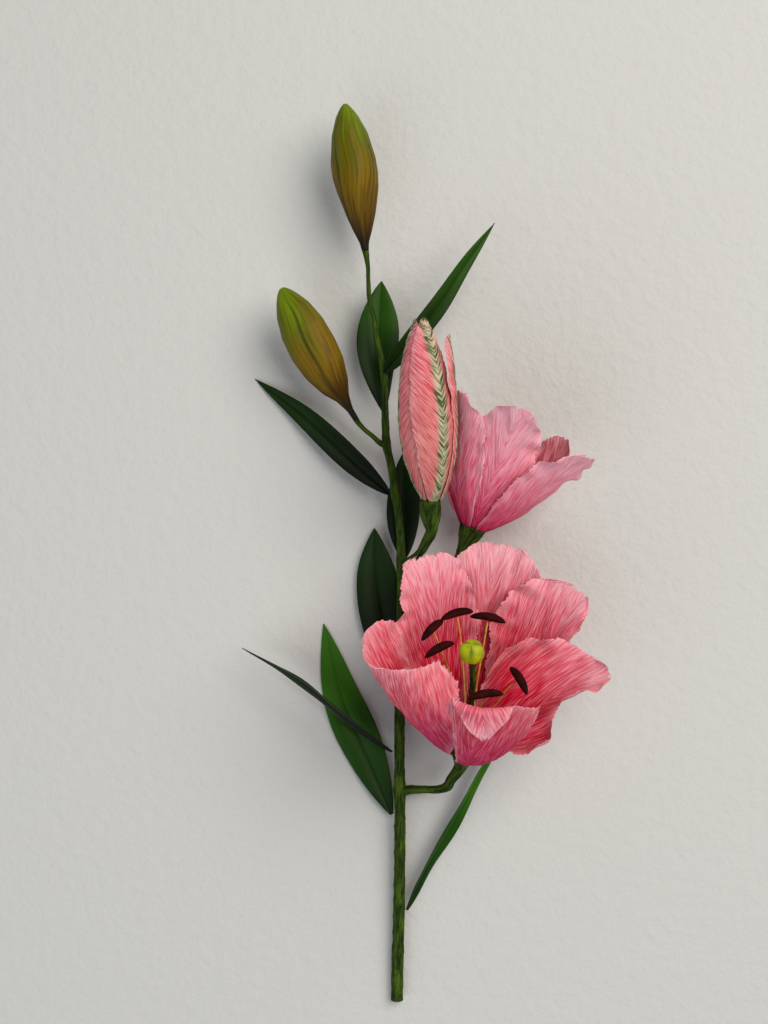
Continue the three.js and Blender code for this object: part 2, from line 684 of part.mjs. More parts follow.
function pistil() {
  const style = [
    { at: vec(0, 0, 0.8), r: 1.1 },
    { at: vec(-0.4, 1.6, 18), r: 1.25 },
    { at: vec(-1, 2.4, 36), r: 1.4 },
    { at: vec(-3, 2.2, 55), r: 1.45 },
    { at: vec(-5.8, 1.2, 71.6), r: 1.6 },
  ];
  const from = vec(-5.9, 1.2, 72);
  const to = vec(-7.8, 0.6, 83.5);
  const ball = [[0, 0.42], [0.1, 0.72], [0.28, 0.95], [0.5, 1], [0.7, 0.93], [0.86, 0.7], [0.96, 0.4], [1, 0.15]];
  const stigma = ball.map(([s, r]) => ({ at: from.clone().lerp(to, s), r: r * STIGMA_RADIUS }));
  const facing = vec(0, 1, 0);
  return [
    piece('style', loft(ringsAlong(style, 10, { facing })), 'style'),
    piece('stigma', loft(ringsAlong(stigma, 12, { lobes: 3, ridge: 0.07, facing })), 'stigma'),
  ];
}

function frontBloom() {
  const group = flowerFrame(vec(35.3, 141, 28), vec(0.1, 0.73, 0.67));
  for (const { name, ...shape } of frontPetals()) {
    group.add(piece(`front_bloom_petal_${name}`, sheet(petalSurface(shape), 14, 10, PAPER), 'petal'));
  }
  stamens.forEach((place, i) => group.add(...stamen(place, i + 1)));
  group.add(...pistil());
  group.add(receptacle('front_bloom_receptacle', [[3.4, -13], [3.8, -10], [4.8, -5], [6.6, -1.6], [7.4, 0]]));
  return group;
}

// ---- the whole spray ----

const spray = new THREE.Group();
spray.add(stemWrap(), stemWire(), ...stalks(), ...leaves(), ...closedBuds());
spray.add(halfOpenBud(), backBloom(), frontBloom());

export default spray;
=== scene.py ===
import bpy
import numpy as np
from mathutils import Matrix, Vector


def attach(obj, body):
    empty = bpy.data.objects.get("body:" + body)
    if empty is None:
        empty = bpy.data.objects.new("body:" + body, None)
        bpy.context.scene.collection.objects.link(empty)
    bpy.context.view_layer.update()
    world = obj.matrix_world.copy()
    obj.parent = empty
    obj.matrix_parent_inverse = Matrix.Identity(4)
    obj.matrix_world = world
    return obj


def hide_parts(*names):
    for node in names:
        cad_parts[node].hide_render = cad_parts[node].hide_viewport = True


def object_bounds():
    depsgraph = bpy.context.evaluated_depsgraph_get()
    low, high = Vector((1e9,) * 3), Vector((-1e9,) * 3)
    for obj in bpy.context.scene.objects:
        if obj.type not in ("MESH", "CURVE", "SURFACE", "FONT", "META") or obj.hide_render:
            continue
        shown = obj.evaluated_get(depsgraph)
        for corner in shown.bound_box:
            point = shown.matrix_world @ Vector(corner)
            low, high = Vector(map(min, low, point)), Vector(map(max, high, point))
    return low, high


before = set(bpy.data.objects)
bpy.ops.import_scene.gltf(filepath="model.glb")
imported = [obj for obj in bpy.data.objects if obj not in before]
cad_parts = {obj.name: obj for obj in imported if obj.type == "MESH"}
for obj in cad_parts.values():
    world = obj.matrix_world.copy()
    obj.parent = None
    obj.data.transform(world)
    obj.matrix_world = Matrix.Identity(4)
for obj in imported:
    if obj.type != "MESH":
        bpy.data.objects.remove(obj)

cad_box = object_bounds()


# ---- camera, table and daylight ----
# The spray lies on its back on a matt off-white table, and the camera looks straight down on it. Daylight
# comes in from one large window beyond the upper right corner, and the pale room fills the shadows.

MM = 0.001
TABLE_HEIGHT = cad_box[0][2]
VIEW_CENTRE = (-7.15, 268.4)
VIEW_HEIGHT = 800
VIEW_LENS = 51.1


def linear(colour):
    """An sRGB hex colour as linear red, green, blue and alpha."""
    channels = [int(colour[i : i + 2], 16) / 255 for i in (1, 3, 5)]
    return [c / 12.92 if c <= 0.04045 else ((c + 0.055) / 1.055) ** 2.4 for c in channels] + [1]


def add(tree, kind, inputs=None, stops=None, **settings):
    """A shader node with its settings, its colour stops, and its inputs' values or the nodes feeding them."""
    made = tree.nodes.new("ShaderNode" + kind)
    for name, value in settings.items():
        setattr(made, name, value)
    if stops:
        ramp = made.color_ramp
        ends = (ramp.elements[0], ramp.elements[1])
        for element, (place, colour) in zip(ends, (stops[0], stops[-1])):
            element.position, element.color = place, linear(colour)
        for place, colour in stops[1:-1]:
            ramp.elements.new(place).color = linear(colour)
    for name, value in (inputs or {}).items():
        socket = next(s for s in made.inputs if s.enabled and name in (s.name, s.identifier))
        if isinstance(value, bpy.types.Node):
            value = next(s for s in value.outputs if s.enabled)
        if isinstance(value, bpy.types.NodeSocket):
            tree.links.new(value, socket)
        else:
            socket.default_value = value
    return made


def new_material(name):
    """An empty material and its node tree."""
    material = bpy.data.materials.new(name)
    material.use_nodes = True
    material.node_tree.nodes.clear()
    return material, material.node_tree


def finish_material(tree, inputs):
    """The shader that every material ends with."""
    shader = add(tree, "BsdfPrincipled", inputs)
    add(tree, "OutputMaterial", {"Surface": shader})


camera = bpy.data.objects.new("camera", bpy.data.cameras.new("camera"))
camera.data.lens = VIEW_LENS
camera.location = (VIEW_CENTRE[0] * MM, VIEW_CENTRE[1] * MM, VIEW_HEIGHT * MM)
bpy.context.scene.collection.objects.link(camera)
bpy.context.scene.camera = camera
bpy.context.scene.view_settings.view_transform = "Standard"

# Matt emulsion paint, put on with a roller: an even off-white with no gloss, and a fine stipple that catches
# light.
STIPPLE = 7  # mm across
matt_white_paint, tree = new_material("matt_white_paint")
place = add(tree, "TexCoord").outputs["Object"]
stipple = add(tree, "TexNoise", {"Vector": place, "Scale": 1 / (STIPPLE * MM), "Detail": 3, "Roughness": 0.6})
relief = add(tree, "Bump", {"Height": stipple, "Strength": 0.6, "Distance": 1.6 * MM})
finish_material(
    tree, {"Base Color": linear("#d3d4d2"), "Roughness": 0.9, "Specular IOR Level": 0.2, "Normal": relief},
)

table_mesh = bpy.data.meshes.new("table")
table_mesh.from_pydata([(x, y, 0) for x, y in ((-3, -3), (3, -3), (3, 3), (-3, 3))], [], [(0, 1, 2, 3)])
table_mesh.materials.append(matt_white_paint)
table = bpy.data.objects.new("table", table_mesh)
table.location = (0, 0.25, TABLE_HEIGHT)
bpy.context.scene.collection.objects.link(table)

for name, place, size, power, colour in (
    ("window", (0.9, 0.95, 1.6), 1.6, 34, "#fff9ee"),
    ("room", (-0.9, -0.9, 1.3), 1.8, 12.5, "#eef3f9"),
):
    light = bpy.data.objects.new(name, bpy.data.lights.new(name, "AREA"))
    light.data.size = size
    light.data.energy = power
    light.data.color = linear(colour)[:3]
    light.location = place
    light.rotation_euler = (Vector((0, 0.25, 0)) - Vector(place)).to_track_quat("-Z", "Y").to_euler()
    bpy.context.scene.collection.objects.link(light)

bpy.context.scene.world = bpy.data.worlds.new("pale_room")
bpy.context.scene.world.use_nodes = True
sky = bpy.context.scene.world.node_tree.nodes["Background"]
sky.inputs["Color"].default_value = linear("#f0f1f4")
sky.inputs["Strength"].default_value = 0.24


# ---- stem wire ----
# Plain galvanised florist's wire, cut square with pliers. Only its end shows, in the middle of the wrap, so
# the CAD solid stays and gets the bright grey of fresh zinc.

galvanised_wire, tree = new_material("galvanised_wire")
place = add(tree, "TexCoord").outputs["Object"]
spangle = add(tree, "TexNoise", {"Vector": place, "Scale": 1 / (0.8 * MM), "Detail": 3})
zinc = add(tree, "ValToRGB", {"Fac": spangle}, stops=[(0.3, "#7f8386"), (0.7, "#a9adaf")])
finish_material(tree, {"Base Color": zinc, "Metallic": 1, "Roughness": 0.38})
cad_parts["stem_wire"].material_slots[0].material = galvanised_wire


# ---- stem wrap and stalks ----
# Green crepe cut into strips, glued and wound up the wires in a spiral. The strip's edges make low steps,
# the joints with the stalks are lumps of extra turns, and each stalk swells into a cup that holds its
# flower's petals.

STRIP_PITCH = 8.5
WRAP_BORE = 1.5
TABLE_CLEARANCE = 0.02
TAPE_RIDGE = (0.9, 9, 0.9)  # mm; the tape's real ridges are half as wide, too fine to show
GLUE_PATCH = (4, 9, 4)


def through(route, u):
    """Points at u, from 0 to 1, on a smooth curve through a given route, an equal share to each."""
    route = np.array(route, float)
    gaps = np.linalg.norm(np.diff(route[:, :3], axis=0), axis=1) ** 0.5
    slopes = np.gradient(route, np.concatenate([[0], np.cumsum(gaps)]), axis=0)
    place = np.clip(u, 0, 1) * (len(route) - 1)
    i = np.minimum(place.astype(int), len(route) - 2)
    x = (place - i)[..., None]
    start, end, gap = route[i], route[i + 1], gaps[i][..., None]
    bends = slopes[i] * x * (1 - x) ** 2 - slopes[i + 1] * x * x * (1 - x)
    return start * (1 + 2 * x) * (1 - x) ** 2 + end * x * x * (3 - 2 * x) + gap * bends


def evenly(route, step):
    """The curve through a route, at even steps along it, and how far along it each point lies."""
    fine = through(route, np.linspace(0, 1, 3000))
    distance = np.concatenate([[0], np.cumsum(np.linalg.norm(np.diff(fine[:, :3], axis=0), axis=1))])
    places = np.linspace(0, distance[-1], max(int(distance[-1] / step), 4) + 1)
    return np.stack([np.interp(places, distance, column) for column in fine.T], axis=1), places


def unit(vectors):
    """The same directions, each one long."""
    return vectors / np.linalg.norm(vectors, axis=-1, keepdims=True)


def wander(place, lengths, rng):
    """An uneven wave made of sines of several lengths with seeded starts, mostly between -1 and 1."""
    waves = (np.sin(2 * np.pi * (place / length + rng.random())) for length in lengths)
    return sum(waves) / len(lengths) ** 0.5


def round_skin(centres, radius, facing=(0, 0, 1)):
    """Rings of points round a line of centres, with radius[ring, side], turning the way the faces need."""
    along = unit(np.gradient(centres, axis=0))
    across = unit(np.cross(along, facing))
    up = np.cross(across, along)
    turn = turns(radius.shape[1])[None, :, None]
    outward = across[:, None] * np.cos(turn) + up[:, None] * np.sin(turn)
    return centres[:, None] + radius[..., None] * outward


def turns(sides):
    """The angle of each side of a ring, in radians."""
    return -2 * np.pi * np.arange(sides) / sides


def tube_faces(rings, sides):
    """Quads round a tube, and where each of their corners lies on a flat map of it."""
    row, side = (n.ravel() for n in np.mgrid[0 : rings - 1, 0:sides])
    corners = [(row, side), (row, side + 1), (row + 1, side + 1), (row + 1, side)]
    faces = np.stack([r * sides + s % sides for r, s in corners], axis=1)
    maps = np.stack([np.stack([s / sides, r / (rings - 1)], axis=1) for r, s in corners], axis=1)
    return faces, maps


def make_piece(name, points, faces, maps, values, material, nodes):
    """One closed piece in metres, from points in mm, that stands for its CAD nodes and rides with them."""
    # Paper that rests on the table lies flat on it.
    points[:, 2] = np.maximum(points[:, 2], TABLE_HEIGHT / MM + TABLE_CLEARANCE)
    mesh = bpy.data.meshes.new(name)
    mesh.from_pydata((points * MM).tolist(), [], [face.tolist() for group in faces for face in group])
    mesh.shade_smooth()
    flat = np.concatenate([group.reshape(-1, 2) for group in maps]) * 0.98 + 0.01
    mesh.uv_layers.new(name="OFBake").data.foreach_set("uv", flat.ravel())
    for key, value in values.items():
        kind = "FLOAT_VECTOR" if value.ndim == 2 else "FLOAT"
        attribute = mesh.attributes.new(key, kind, "POINT")
        attribute.data.foreach_set("vector" if value.ndim == 2 else "value", value.astype(np.float32).ravel())
    mesh.materials.append(material)
    piece = bpy.data.objects.new(name, mesh)
    bpy.context.scene.collection.objects.link(piece)
    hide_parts(*nodes)
    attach(piece, "root")
    return piece


def closed_tube(name, skin, values, material, nodes, bore=None):
    """A tube from rings of points, closed by a fan at each end, or turned back inside itself down a bore."""
    rings, sides = skin.shape[:2]
    faces, maps = tube_faces(rings, sides)
    points = skin.reshape(-1, 3)
    groups, layouts = [faces], [maps]
    if bore is None:
        ends = [(0, 1), ((rings - 1) * sides, -1)]
    else:
        inner, inner_maps = tube_faces(len(bore), sides)
        lip = np.arange(sides)
        after = (lip + 1) % sides
        start = len(points)
        groups += [inner[:, ::-1] + start, np.stack([lip + start, after + start, after, lip], axis=1)]
        layouts += [inner_maps * (1, 0.01), np.zeros((sides, 4, 2))]
        points = np.concatenate([points, bore.reshape(-1, 3)])
        ends = [((rings - 1) * sides, -1), (start + (len(bore) - 1) * sides, 1)]
    for first, way in ends:
        k = np.arange(sides)
        hub = len(points)
        points = np.concatenate([points, points[first : first + sides].mean(axis=0)[None]])
        fan = np.stack([k + first, (k + 1) % sides + first, np.full(sides, hub)], axis=1)
        groups.append(fan[:, ::way * -1])
        layouts.append(np.zeros((sides, 3, 2)))
    padding = len(points) - rings * sides
    values = {
        key: np.concatenate([
            value.reshape(rings * sides, *value.shape[2:]), np.zeros((padding, *value.shape[2:])),
        ])
        for key, value in values.items()
    }
    return make_piece(name, points, groups, layouts, values, material, nodes)


# Crepe tape: a dark leaf green, mottled where the glue has soaked in, with fine ridges along the stem. The
# ridge crests are painted lighter and the valleys darker: painted highlight and painted shade.
green_crepe_tape, tree = new_material("green_crepe_tape")
tape_grain = add(tree, "Attribute", attribute_name="tape_grain").outputs["Vector"]
stretched = add(tree, "Mapping", {"Vector": tape_grain, "Scale": [1 / mm for mm in TAPE_RIDGE]})
ridges = add(tree, "TexNoise", {"Vector": stretched, "Scale": 1, "Detail": 2})
stretched = add(tree, "Mapping", {"Vector": tape_grain, "Scale": [1 / mm for mm in GLUE_PATCH]})
glue = add(tree, "TexNoise", {"Vector": stretched, "Scale": 1, "Detail": 4, "Roughness": 0.65})
mottle = add(tree, "ValToRGB", {"Fac": glue}, stops=[(0.32, "#0c1803"), (0.5, "#203806"), (0.68, "#4c6614")])
# Painted highlight on the ridge crests and painted shade in the valleys between them.
lit_crests = add(tree, "ValToRGB", {"Fac": ridges}, stops=[(0.38, "#0e1a03"), (0.64, "#56701c")])
tape = add(tree, "Mix", {"Factor": 0.4, "A": mottle, "B": lit_crests}, data_type="RGBA")
# Painted shade: a dark line just past each strip's edge, where the step would shade the tape.
step_shade = add(tree, "Attribute", attribute_name="strip_step_shade").outputs["Fac"]
tape = add(tree, "Mix", {"Factor": step_shade, "A": tape, "B": linear("#132406")}, data_type="RGBA")
relief = add(tree, "Bump", {"Height": ridges, "Strength": 0.9, "Distance": 0.35 * MM})
finish_material(tree, {"Base Color": tape, "Roughness": 0.66, "Specular IOR Level": 0.12, "Normal": relief})


def tape_grain_at(along, turn):
    """Where each point lies on the tape: x and z go round the stem, and y runs up it."""
    twist = turn + along / 60
    return np.stack([3 * np.cos(twist), along + 0 * turn, 3 * np.sin(twist)], axis=2)


def wound_tube(name, route, nodes, seed, sides=36, step=0.5, lumps=(), bore_end=None):
    """A wire wound with a crepe strip: route is (x, y, z, radius), lumps are (distance, height, spread)."""
    rng = np.random.default_rng(seed)
    line, distance = evenly(route, step)
    along, turn = distance[:, None], turns(sides)[None, :]
    radius = line[:, 3:4] * np.ones((1, sides))
    winds = along / STRIP_PITCH + turn / (2 * np.pi) + 0.12 * wander(along, (31, 47), rng)
    since_edge = winds % 1
    step_up = np.exp(-((since_edge / 0.16) ** 2)) + np.exp(-(((1 - since_edge) / 0.03) ** 2))
    radius = radius + np.clip(line[:, 3:4], 1, 3) * 0.055 * step_up
    out_of_round = 0.025 * np.sin(2 * turn + wander(along, (19, 33), rng) * 2)
    radius = radius * (1 + out_of_round + 0.02 * wander(along, (9, 14), rng))
    for middle, height, spread in lumps:
        lump = height * np.exp(-(((along - middle) / spread) ** 2))
        radius = radius + lump * (1 + 0.3 * np.cos(turn + seed))
    skin = round_skin(line[:, :3], radius)
    # Where the painted shade line along each strip's edge falls.
    strip_step_shade = 0.4 * np.exp(-((since_edge / 0.05) ** 2))
    values = {"tape_grain": tape_grain_at(along, turn), "strip_step_shade": strip_step_shade}
    bore = None
    if bore_end:
        inside = line[distance <= bore_end, :3]
        bore = round_skin(inside[::8], np.full((len(inside[::8]), sides), WRAP_BORE))
    return closed_tube(name, skin, values, green_crepe_tape, nodes, bore)


wound_tube(
    "wound_stem",
    [
        (0, 0, 0, 3.35), (0.2, 17, 1, 3.3), (1.1, 52, 3, 3.15), (1.6, 102, 5, 3), (1.3, 137, 7, 2.85),
        (1.4, 162, 8, 2.8), (2.1, 209, 10, 2.5), (2, 250, 13, 2.2), (1, 264, 14, 2.15), (-0.9, 278, 15, 2.1),
        (-3, 292, 16, 2.1), (-5.6, 304, 17, 2.1), (-6.5, 319, 18, 2), (-6.8, 332, 19, 1.85),
        (-7.2, 342, 19.5, 1.75), (-8.9, 351.5, 20, 1.65), (-11.2, 362, 20.5, 1.5), (-12.5, 372, 21, 1.35),
        (-14.8, 381, 21.5, 1.25), (-15.5, 391, 22, 1.15), (-15.8, 400, 22.5, 1.2), (-16.8, 406.5, 22.9, 1.6),
        (-17.1, 408, 23.1, 1.9),
    ],
    ["stem_wrap"],
    seed=3,
    lumps=[(96, 0.3, 2.2), (116, 0.55, 5), (196, 0.4, 6), (242, 0.4, 6), (279, 0.45, 5), (306, 0.4, 4),
           (343, 0.45, 5)],
    bore_end=262,
)


def flower_frame(at, axis):
    """Where a flower stands, and its three directions: across the spray, square to that, and its own axis."""
    up = unit(np.array(axis, float))
    right = unit(np.array([1, 0, 0]) - up * up[0])
    return np.array(at, float), np.array([right, np.cross(up, right), up])


def cup_route(at, axis, profile):
    """Points up a flower's axis, from [radius, height] pairs."""
    origin, (_, _, up) = flower_frame(at, axis)
    return [(*(origin + up * height), r) for r, height in profile]


FRONT_BLOOM = ((35.3, 141, 28), (0.1, 0.73, 0.67))
BACK_BLOOM = ((39.7, 258.8, 22.2), (0.371, 0.918, 0.139))
HALF_OPEN_BUD = ((16.7, 273.4, 46.5), (-0.06, 0.975, 0.21))

wound_tube(
    "wound_stalk_left_bud",
    [(-6.9, 304.4, 17.6, 1.7), (-9.3, 305.6, 18.2, 1.5), (-13, 308.9, 19, 1.3), (-18.2, 313.2, 20, 1.25),
     (-21.4, 316.9, 20.4, 1.5), (-21.9, 317.8, 20.6, 1.6)],
    ["left_bud_stalk"],
    seed=5,
    sides=24,
)
wound_tube(
    "wound_stalk_half_open_bud",
    [(3.4, 240.4, 14.4, 1.9), (4.6, 241.5, 16.8, 1.8), (7.4, 243, 22, 2), (11.6, 246.6, 32, 2.2),
     (15, 252.8, 40.4, 2.6)]
    + cup_route(*HALF_OPEN_BUD, [(3.2, -15), (4.3, -11), (5.4, -6), (5.7, -2.5), (5.6, 0), (5.2, 1.4)]),
    ["half_open_bud_stalk", "half_open_bud_receptacle"],
    seed=7,
)
wound_tube(
    "wound_stalk_back_bloom",
    [(3.9, 192.4, 8, 2), (5.6, 195, 7.4, 1.9), (12, 203, 8.5, 2.1), (23, 222, 13.5, 2.3),
     (31, 238, 17.4, 2.6)]
    + cup_route(*BACK_BLOOM, [(3.4, -12.5), (4.4, -8), (5.7, -3.6), (7, 0), (7.6, 1.6)]),
    ["back_bloom_stalk", "back_bloom_receptacle"],
    seed=11,
)
wound_tube(
    "wound_stalk_front_bloom",
    [(3.9, 116.2, 6, 2.5), (7, 116.8, 6.5, 2.4), (14, 117.2, 8, 2.1), (23.5, 118.2, 12, 2.3),
     (27.2, 120.4, 14.6, 2.7), (28.8, 123.8, 17, 2.6)]
    + cup_route(*FRONT_BLOOM, [(3.6, -12.5), (4.4, -8), (5.6, -3.6), (7.2, 0), (8.2, 1.8)]),
    ["front_bloom_stalk", "front_bloom_receptacle"],
    seed=13,
)


# ---- leaves ----
# Eight blades cut from stiff waxed paper, each creased down its midrib, pinched at the foot and bound in
# under the stem's wrap. The crease stays a fine groove, and the halves bow a little between it and the cut
# edges.

LEAF_THICKNESS = 0.4
PAPER_FIBRE = (0.9, 35, 1)  # mm; real fibres are finer than shows
GREEN_CLOUD = 24


def closed_sheet(name, middle, outward, thickness, values, material, nodes):
    """A thin closed sheet: a grid of points moved half a thickness each way along outward, its rim closed.

    The outer face takes the left half of the flat map and the inner face the right half.
    """
    rows, columns = (n - 1 for n in middle.shape[:2])
    count = (rows + 1) * (columns + 1)
    half = outward * thickness / 2
    points = np.concatenate([(middle + half).reshape(-1, 3), (middle - half).reshape(-1, 3)])
    row, column = (n.ravel() for n in np.mgrid[0:rows, 0:columns])
    corners = [(row, column), (row, column + 1), (row + 1, column + 1), (row + 1, column)]
    front = np.stack([r * (columns + 1) + c for r, c in corners], axis=1)
    flat = np.stack([np.stack([0.49 * c / columns, r / rows], axis=1) for r, c in corners], axis=1)
    back = front[:, ::-1] + count
    grid = np.arange(count).reshape(rows + 1, columns + 1)
    rim = np.concatenate([grid[0, :-1], grid[:-1, -1], grid[-1, :0:-1], grid[:0:-1, 0]])
    after = np.roll(rim, -1)
    sides = np.stack([rim, rim + count, after + count, after], axis=1)
    place = np.stack([0.49 * (grid % (columns + 1)) / columns, grid // (columns + 1) / rows], axis=2)
    rim_flat = place.reshape(-1, 2)[np.stack([rim, rim, after, after], axis=1)]
    values = {key: np.concatenate([v.reshape(count, *v.shape[2:])] * 2) for key, v in values.items()}
    values["outer"] = np.repeat([1.0, 0.0], count)
    maps = [flat, flat[:, ::-1] + (0.51, 0), rim_flat]
    piece = make_piece(name, points, [front, back, sides], maps, values, material, nodes)
    piece.data.polygons.foreach_set("use_smooth", np.repeat([True, False], [2 * len(front), len(sides)]))
    return piece


def outward_of(grid):
    """The direction square to a grid of points at each of them."""
    return unit(np.cross(np.gradient(grid, axis=1), np.gradient(grid, axis=0)))


def waxed_paper(name, dark, mid, light):
    """Waxed paper: a deep green with a satin shine and faint long fibres, with painted shade towards the foot
    and along the crease.
    """
    material, tree = new_material(name)
    fibre_place = add(tree, "Attribute", attribute_name="fibre").outputs["Vector"]
    stretched = add(tree, "Mapping", {"Vector": fibre_place, "Scale": [1 / mm for mm in PAPER_FIBRE]})
    fibres = add(tree, "TexNoise", {"Vector": stretched, "Scale": 1, "Detail": 3})
    cloud = add(tree, "TexNoise", {"Vector": fibre_place, "Scale": 1 / GREEN_CLOUD, "Detail": 2})
    # up_leaf darkens the green towards the foot of the blade: painted shade near the stem.
    up_leaf = add(tree, "Attribute", attribute_name="up_leaf").outputs["Fac"]
    place = add(
        tree, "Math", {"Value": fibres, "Value_001": 0.22, "Value_002": up_leaf}, operation="MULTIPLY_ADD",
    )
    place = add(
        tree, "Math", {"Value": cloud, "Value_001": 0.35, "Value_002": place}, operation="MULTIPLY_ADD",
    )
    green = add(tree, "ValToRGB", {"Fac": place}, stops=[(0.25, dark), (0.75, mid), (1.25 / 1.3, light)])
    # Painted shade in the crease groove along the midrib.
    crease = add(tree, "Attribute", attribute_name="crease").outputs["Fac"]
    green = add(tree, "Mix", {"Factor": crease, "A": green, "B": linear(dark)}, data_type="RGBA")
    relief = add(tree, "Bump", {"Height": fibres, "Strength": 0.25, "Distance": 0.08 * MM})
    finish_material(
        tree, {"Base Color": green, "Roughness": 0.45, "Specular IOR Level": 0.15, "Normal": relief},
    )
    return material


# Three copies of one paper, lit, in half shade and in deep shade: the painted shade turns one olive and one
# so dark that little but its shine shows.
lit_waxed_paper = waxed_paper("lit_waxed_paper", "#0a2402", "#1f4a03", "#356a0c")
half_shaded_waxed_paper = waxed_paper("half_shaded_waxed_paper", "#071a01", "#163302", "#264c08")
deep_shaded_waxed_paper = waxed_paper("deep_shaded_waxed_paper", "#020a01", "#081a02", "#122f04")


def make_leaf(name, material, spine, half_width, roll=0, fold=14, belly=0.45, seed=0):
    """A pointed blade on a given spine, rolled about it and folded along the midrib."""
    rng = np.random.default_rng(seed)
    u, v = np.meshgrid(np.linspace(0, 1, 111), np.linspace(-1, 1, 33), indexing="ij")
    peak = np.log(0.5) / np.log(belly)
    line = through(spine, u[:, 0])
    along = unit(np.gradient(line, axis=0))[:, None]
    flat = unit(np.cross(along, (0, 0, 1)))
    turn, lift = np.radians(roll), np.radians(fold)
    across = flat * np.cos(turn) + np.cross(along, flat) * np.sin(turn)
    up = np.cross(across, along)
    length = np.linalg.norm(np.diff(line, axis=0), axis=1).sum()
    taper = np.clip(np.sin(np.pi * u**peak), 0, 1) ** 0.85
    wide = np.maximum(half_width * taper, 0.25) + 0.9 * (1 - u) ** 2
    off = v * wide
    bow = 0.07 * half_width * np.sin(np.pi * np.abs(v)) * taper
    groove = 0.35 * np.exp(-((off / 0.55) ** 2)) * (1 - u**4)
    wave = 0.45 * v**2 * np.sign(v) * wander(u * length, (58, 37), rng) * taper
    rise = np.abs(off) * np.sin(lift) + bow - groove + wave
    middle = line[:, None] + across * (off * np.cos(lift))[..., None] + up * rise[..., None]
    thin = 1 - 0.6 * np.abs(v[..., None]) ** 8
    fibre = np.stack([off + 40 * seed, u * length, 0 * u], axis=2)
    # The painted shade along the crease, fading towards the tip.
    crease = 0.75 * np.exp(-((off / 0.5) ** 2)) * (1 - u)
    values = {"fibre": fibre, "up_leaf": u, "crease": crease}
    closed_sheet(f"blade_{name}", middle, outward_of(middle) * thin, LEAF_THICKNESS, values, material,
                 [name])


make_leaf(
    "leaf_top_right", half_shaded_waxed_paper,
    [(-6.9, 343, 22.4), (0.6, 352.2, 24), (20.8, 377.2, 27), (36.8, 401.4, 28), (51.7, 422.2, 26)],
    half_width=5.2, roll=20, seed=1,
)
make_leaf(
    "leaf_upper_back", half_shaded_waxed_paper,
    [(-7.2, 322.4, 14.6), (-10.8, 350.7, 11), (-9.8, 372.7, 9.5), (-8.5, 393.8, 11)],
    half_width=11.4, fold=10, belly=0.52, seed=2,
)
make_leaf(
    "leaf_left", deep_shaded_waxed_paper,
    [(-4.4, 278.3, 13.8), (-24.4, 296, 8), (-51.6, 321.4, 1.6), (-78.3, 341.8, -3.05)],
    half_width=6.6, fold=12, seed=3,
)
make_leaf(
    "leaf_middle_back", deep_shaded_waxed_paper,
    [(3.6, 243, 8.6), (3.2, 264, 6), (4.2, 285, 4.5), (5, 304, 4.6)],
    half_width=9, fold=10, seed=4,
)
make_leaf(
    "leaf_dark_back", deep_shaded_waxed_paper,
    [(0.5, 171, 3.6), (-6.4, 205, 1.5), (-11.4, 236.5, 0), (-12.4, 259.6, 1)],
    half_width=12.6, fold=8, seed=5,
)
make_leaf(
    "leaf_lower_left", lit_waxed_paper,
    [(-2.8, 102.5, 2.4), (-16.4, 134, -1.4), (-30.6, 167, -2.95), (-40.5, 206.6, -2.6)],
    half_width=11.4, fold=6, belly=0.5, seed=6,
)
make_leaf(
    "leaf_left_narrow", deep_shaded_waxed_paper,
    [(-2.6, 138.2, 11), (-25.2, 155.6, 13), (-52.2, 177.4, 13), (-84.3, 194.5, 10)],
    half_width=6.5, roll=-66, fold=12, seed=7,
)
make_leaf(
    "leaf_right_narrow", lit_waxed_paper,
    [(5.2, 50.4, 3.6), (16, 73.6, 5), (32.4, 101.4, 6), (47.6, 130, 7), (58.4, 144.4, 8)],
    half_width=4.2, roll=45, fold=14, seed=8,
)


# ---- closed buds ----
# Lime crepe drawn over a padded core so that it folds into three blunt ridges, then brushed with watered
# paint from olive to orange-brown. The folds, the low places of the brush strokes and the foot are darkened
# with painted shade.

# Lime crepe under watered paint: dull, with long brush strokes over broad washes from lime to brown.
BRUSH_STROKE = (1.6, 30, 1.6)
PAINT_WASH = (9, 34, 9)
painted_lime_crepe, tree = new_material("painted_lime_crepe")
bud_place = add(tree, "Attribute", attribute_name="bud_grain").outputs["Vector"]
up_bud = add(tree, "Attribute", attribute_name="up_bud").outputs["Fac"]
fold = add(tree, "Attribute", attribute_name="fold").outputs["Fac"]
stretched = add(tree, "Mapping", {"Vector": bud_place, "Scale": [1 / mm for mm in BRUSH_STROKE]})
strokes = add(tree, "TexNoise", {"Vector": stretched, "Scale": 1, "Detail": 4, "Roughness": 0.6})
stretched = add(tree, "Mapping", {"Vector": bud_place, "Scale": [1 / mm for mm in PAINT_WASH]})
washes = add(tree, "TexNoise", {"Vector": stretched, "Scale": 1, "Detail": 2})
depth = add(
    tree, "Math", {"Value": strokes, "Value_001": 0.35, "Value_002": up_bud}, operation="MULTIPLY_ADD",
)
depth = add(
    tree, "Math", {"Value": washes, "Value_001": 0.75, "Value_002": depth}, operation="MULTIPLY_ADD",
)
depth = add(tree, "Math", {"Value": depth, "Value_001": 0.5}, operation="MULTIPLY")
# The near-black first stop, which the foot of each bud takes, is painted shade; the browns, ochre and lime
# above it are the paint's own colours.
paint = add(
    tree, "ValToRGB", {"Fac": depth},
    stops=[(0.28, "#120e02"), (0.38, "#4f3600"), (0.5, "#7c6000"), (0.66, "#63690a"), (0.82, "#7a9a06")],
)
# Painted shade in the folds between the lobes.
paint = add(tree, "Mix", {"Factor": fold, "A": paint, "B": linear("#241a04")}, data_type="RGBA")
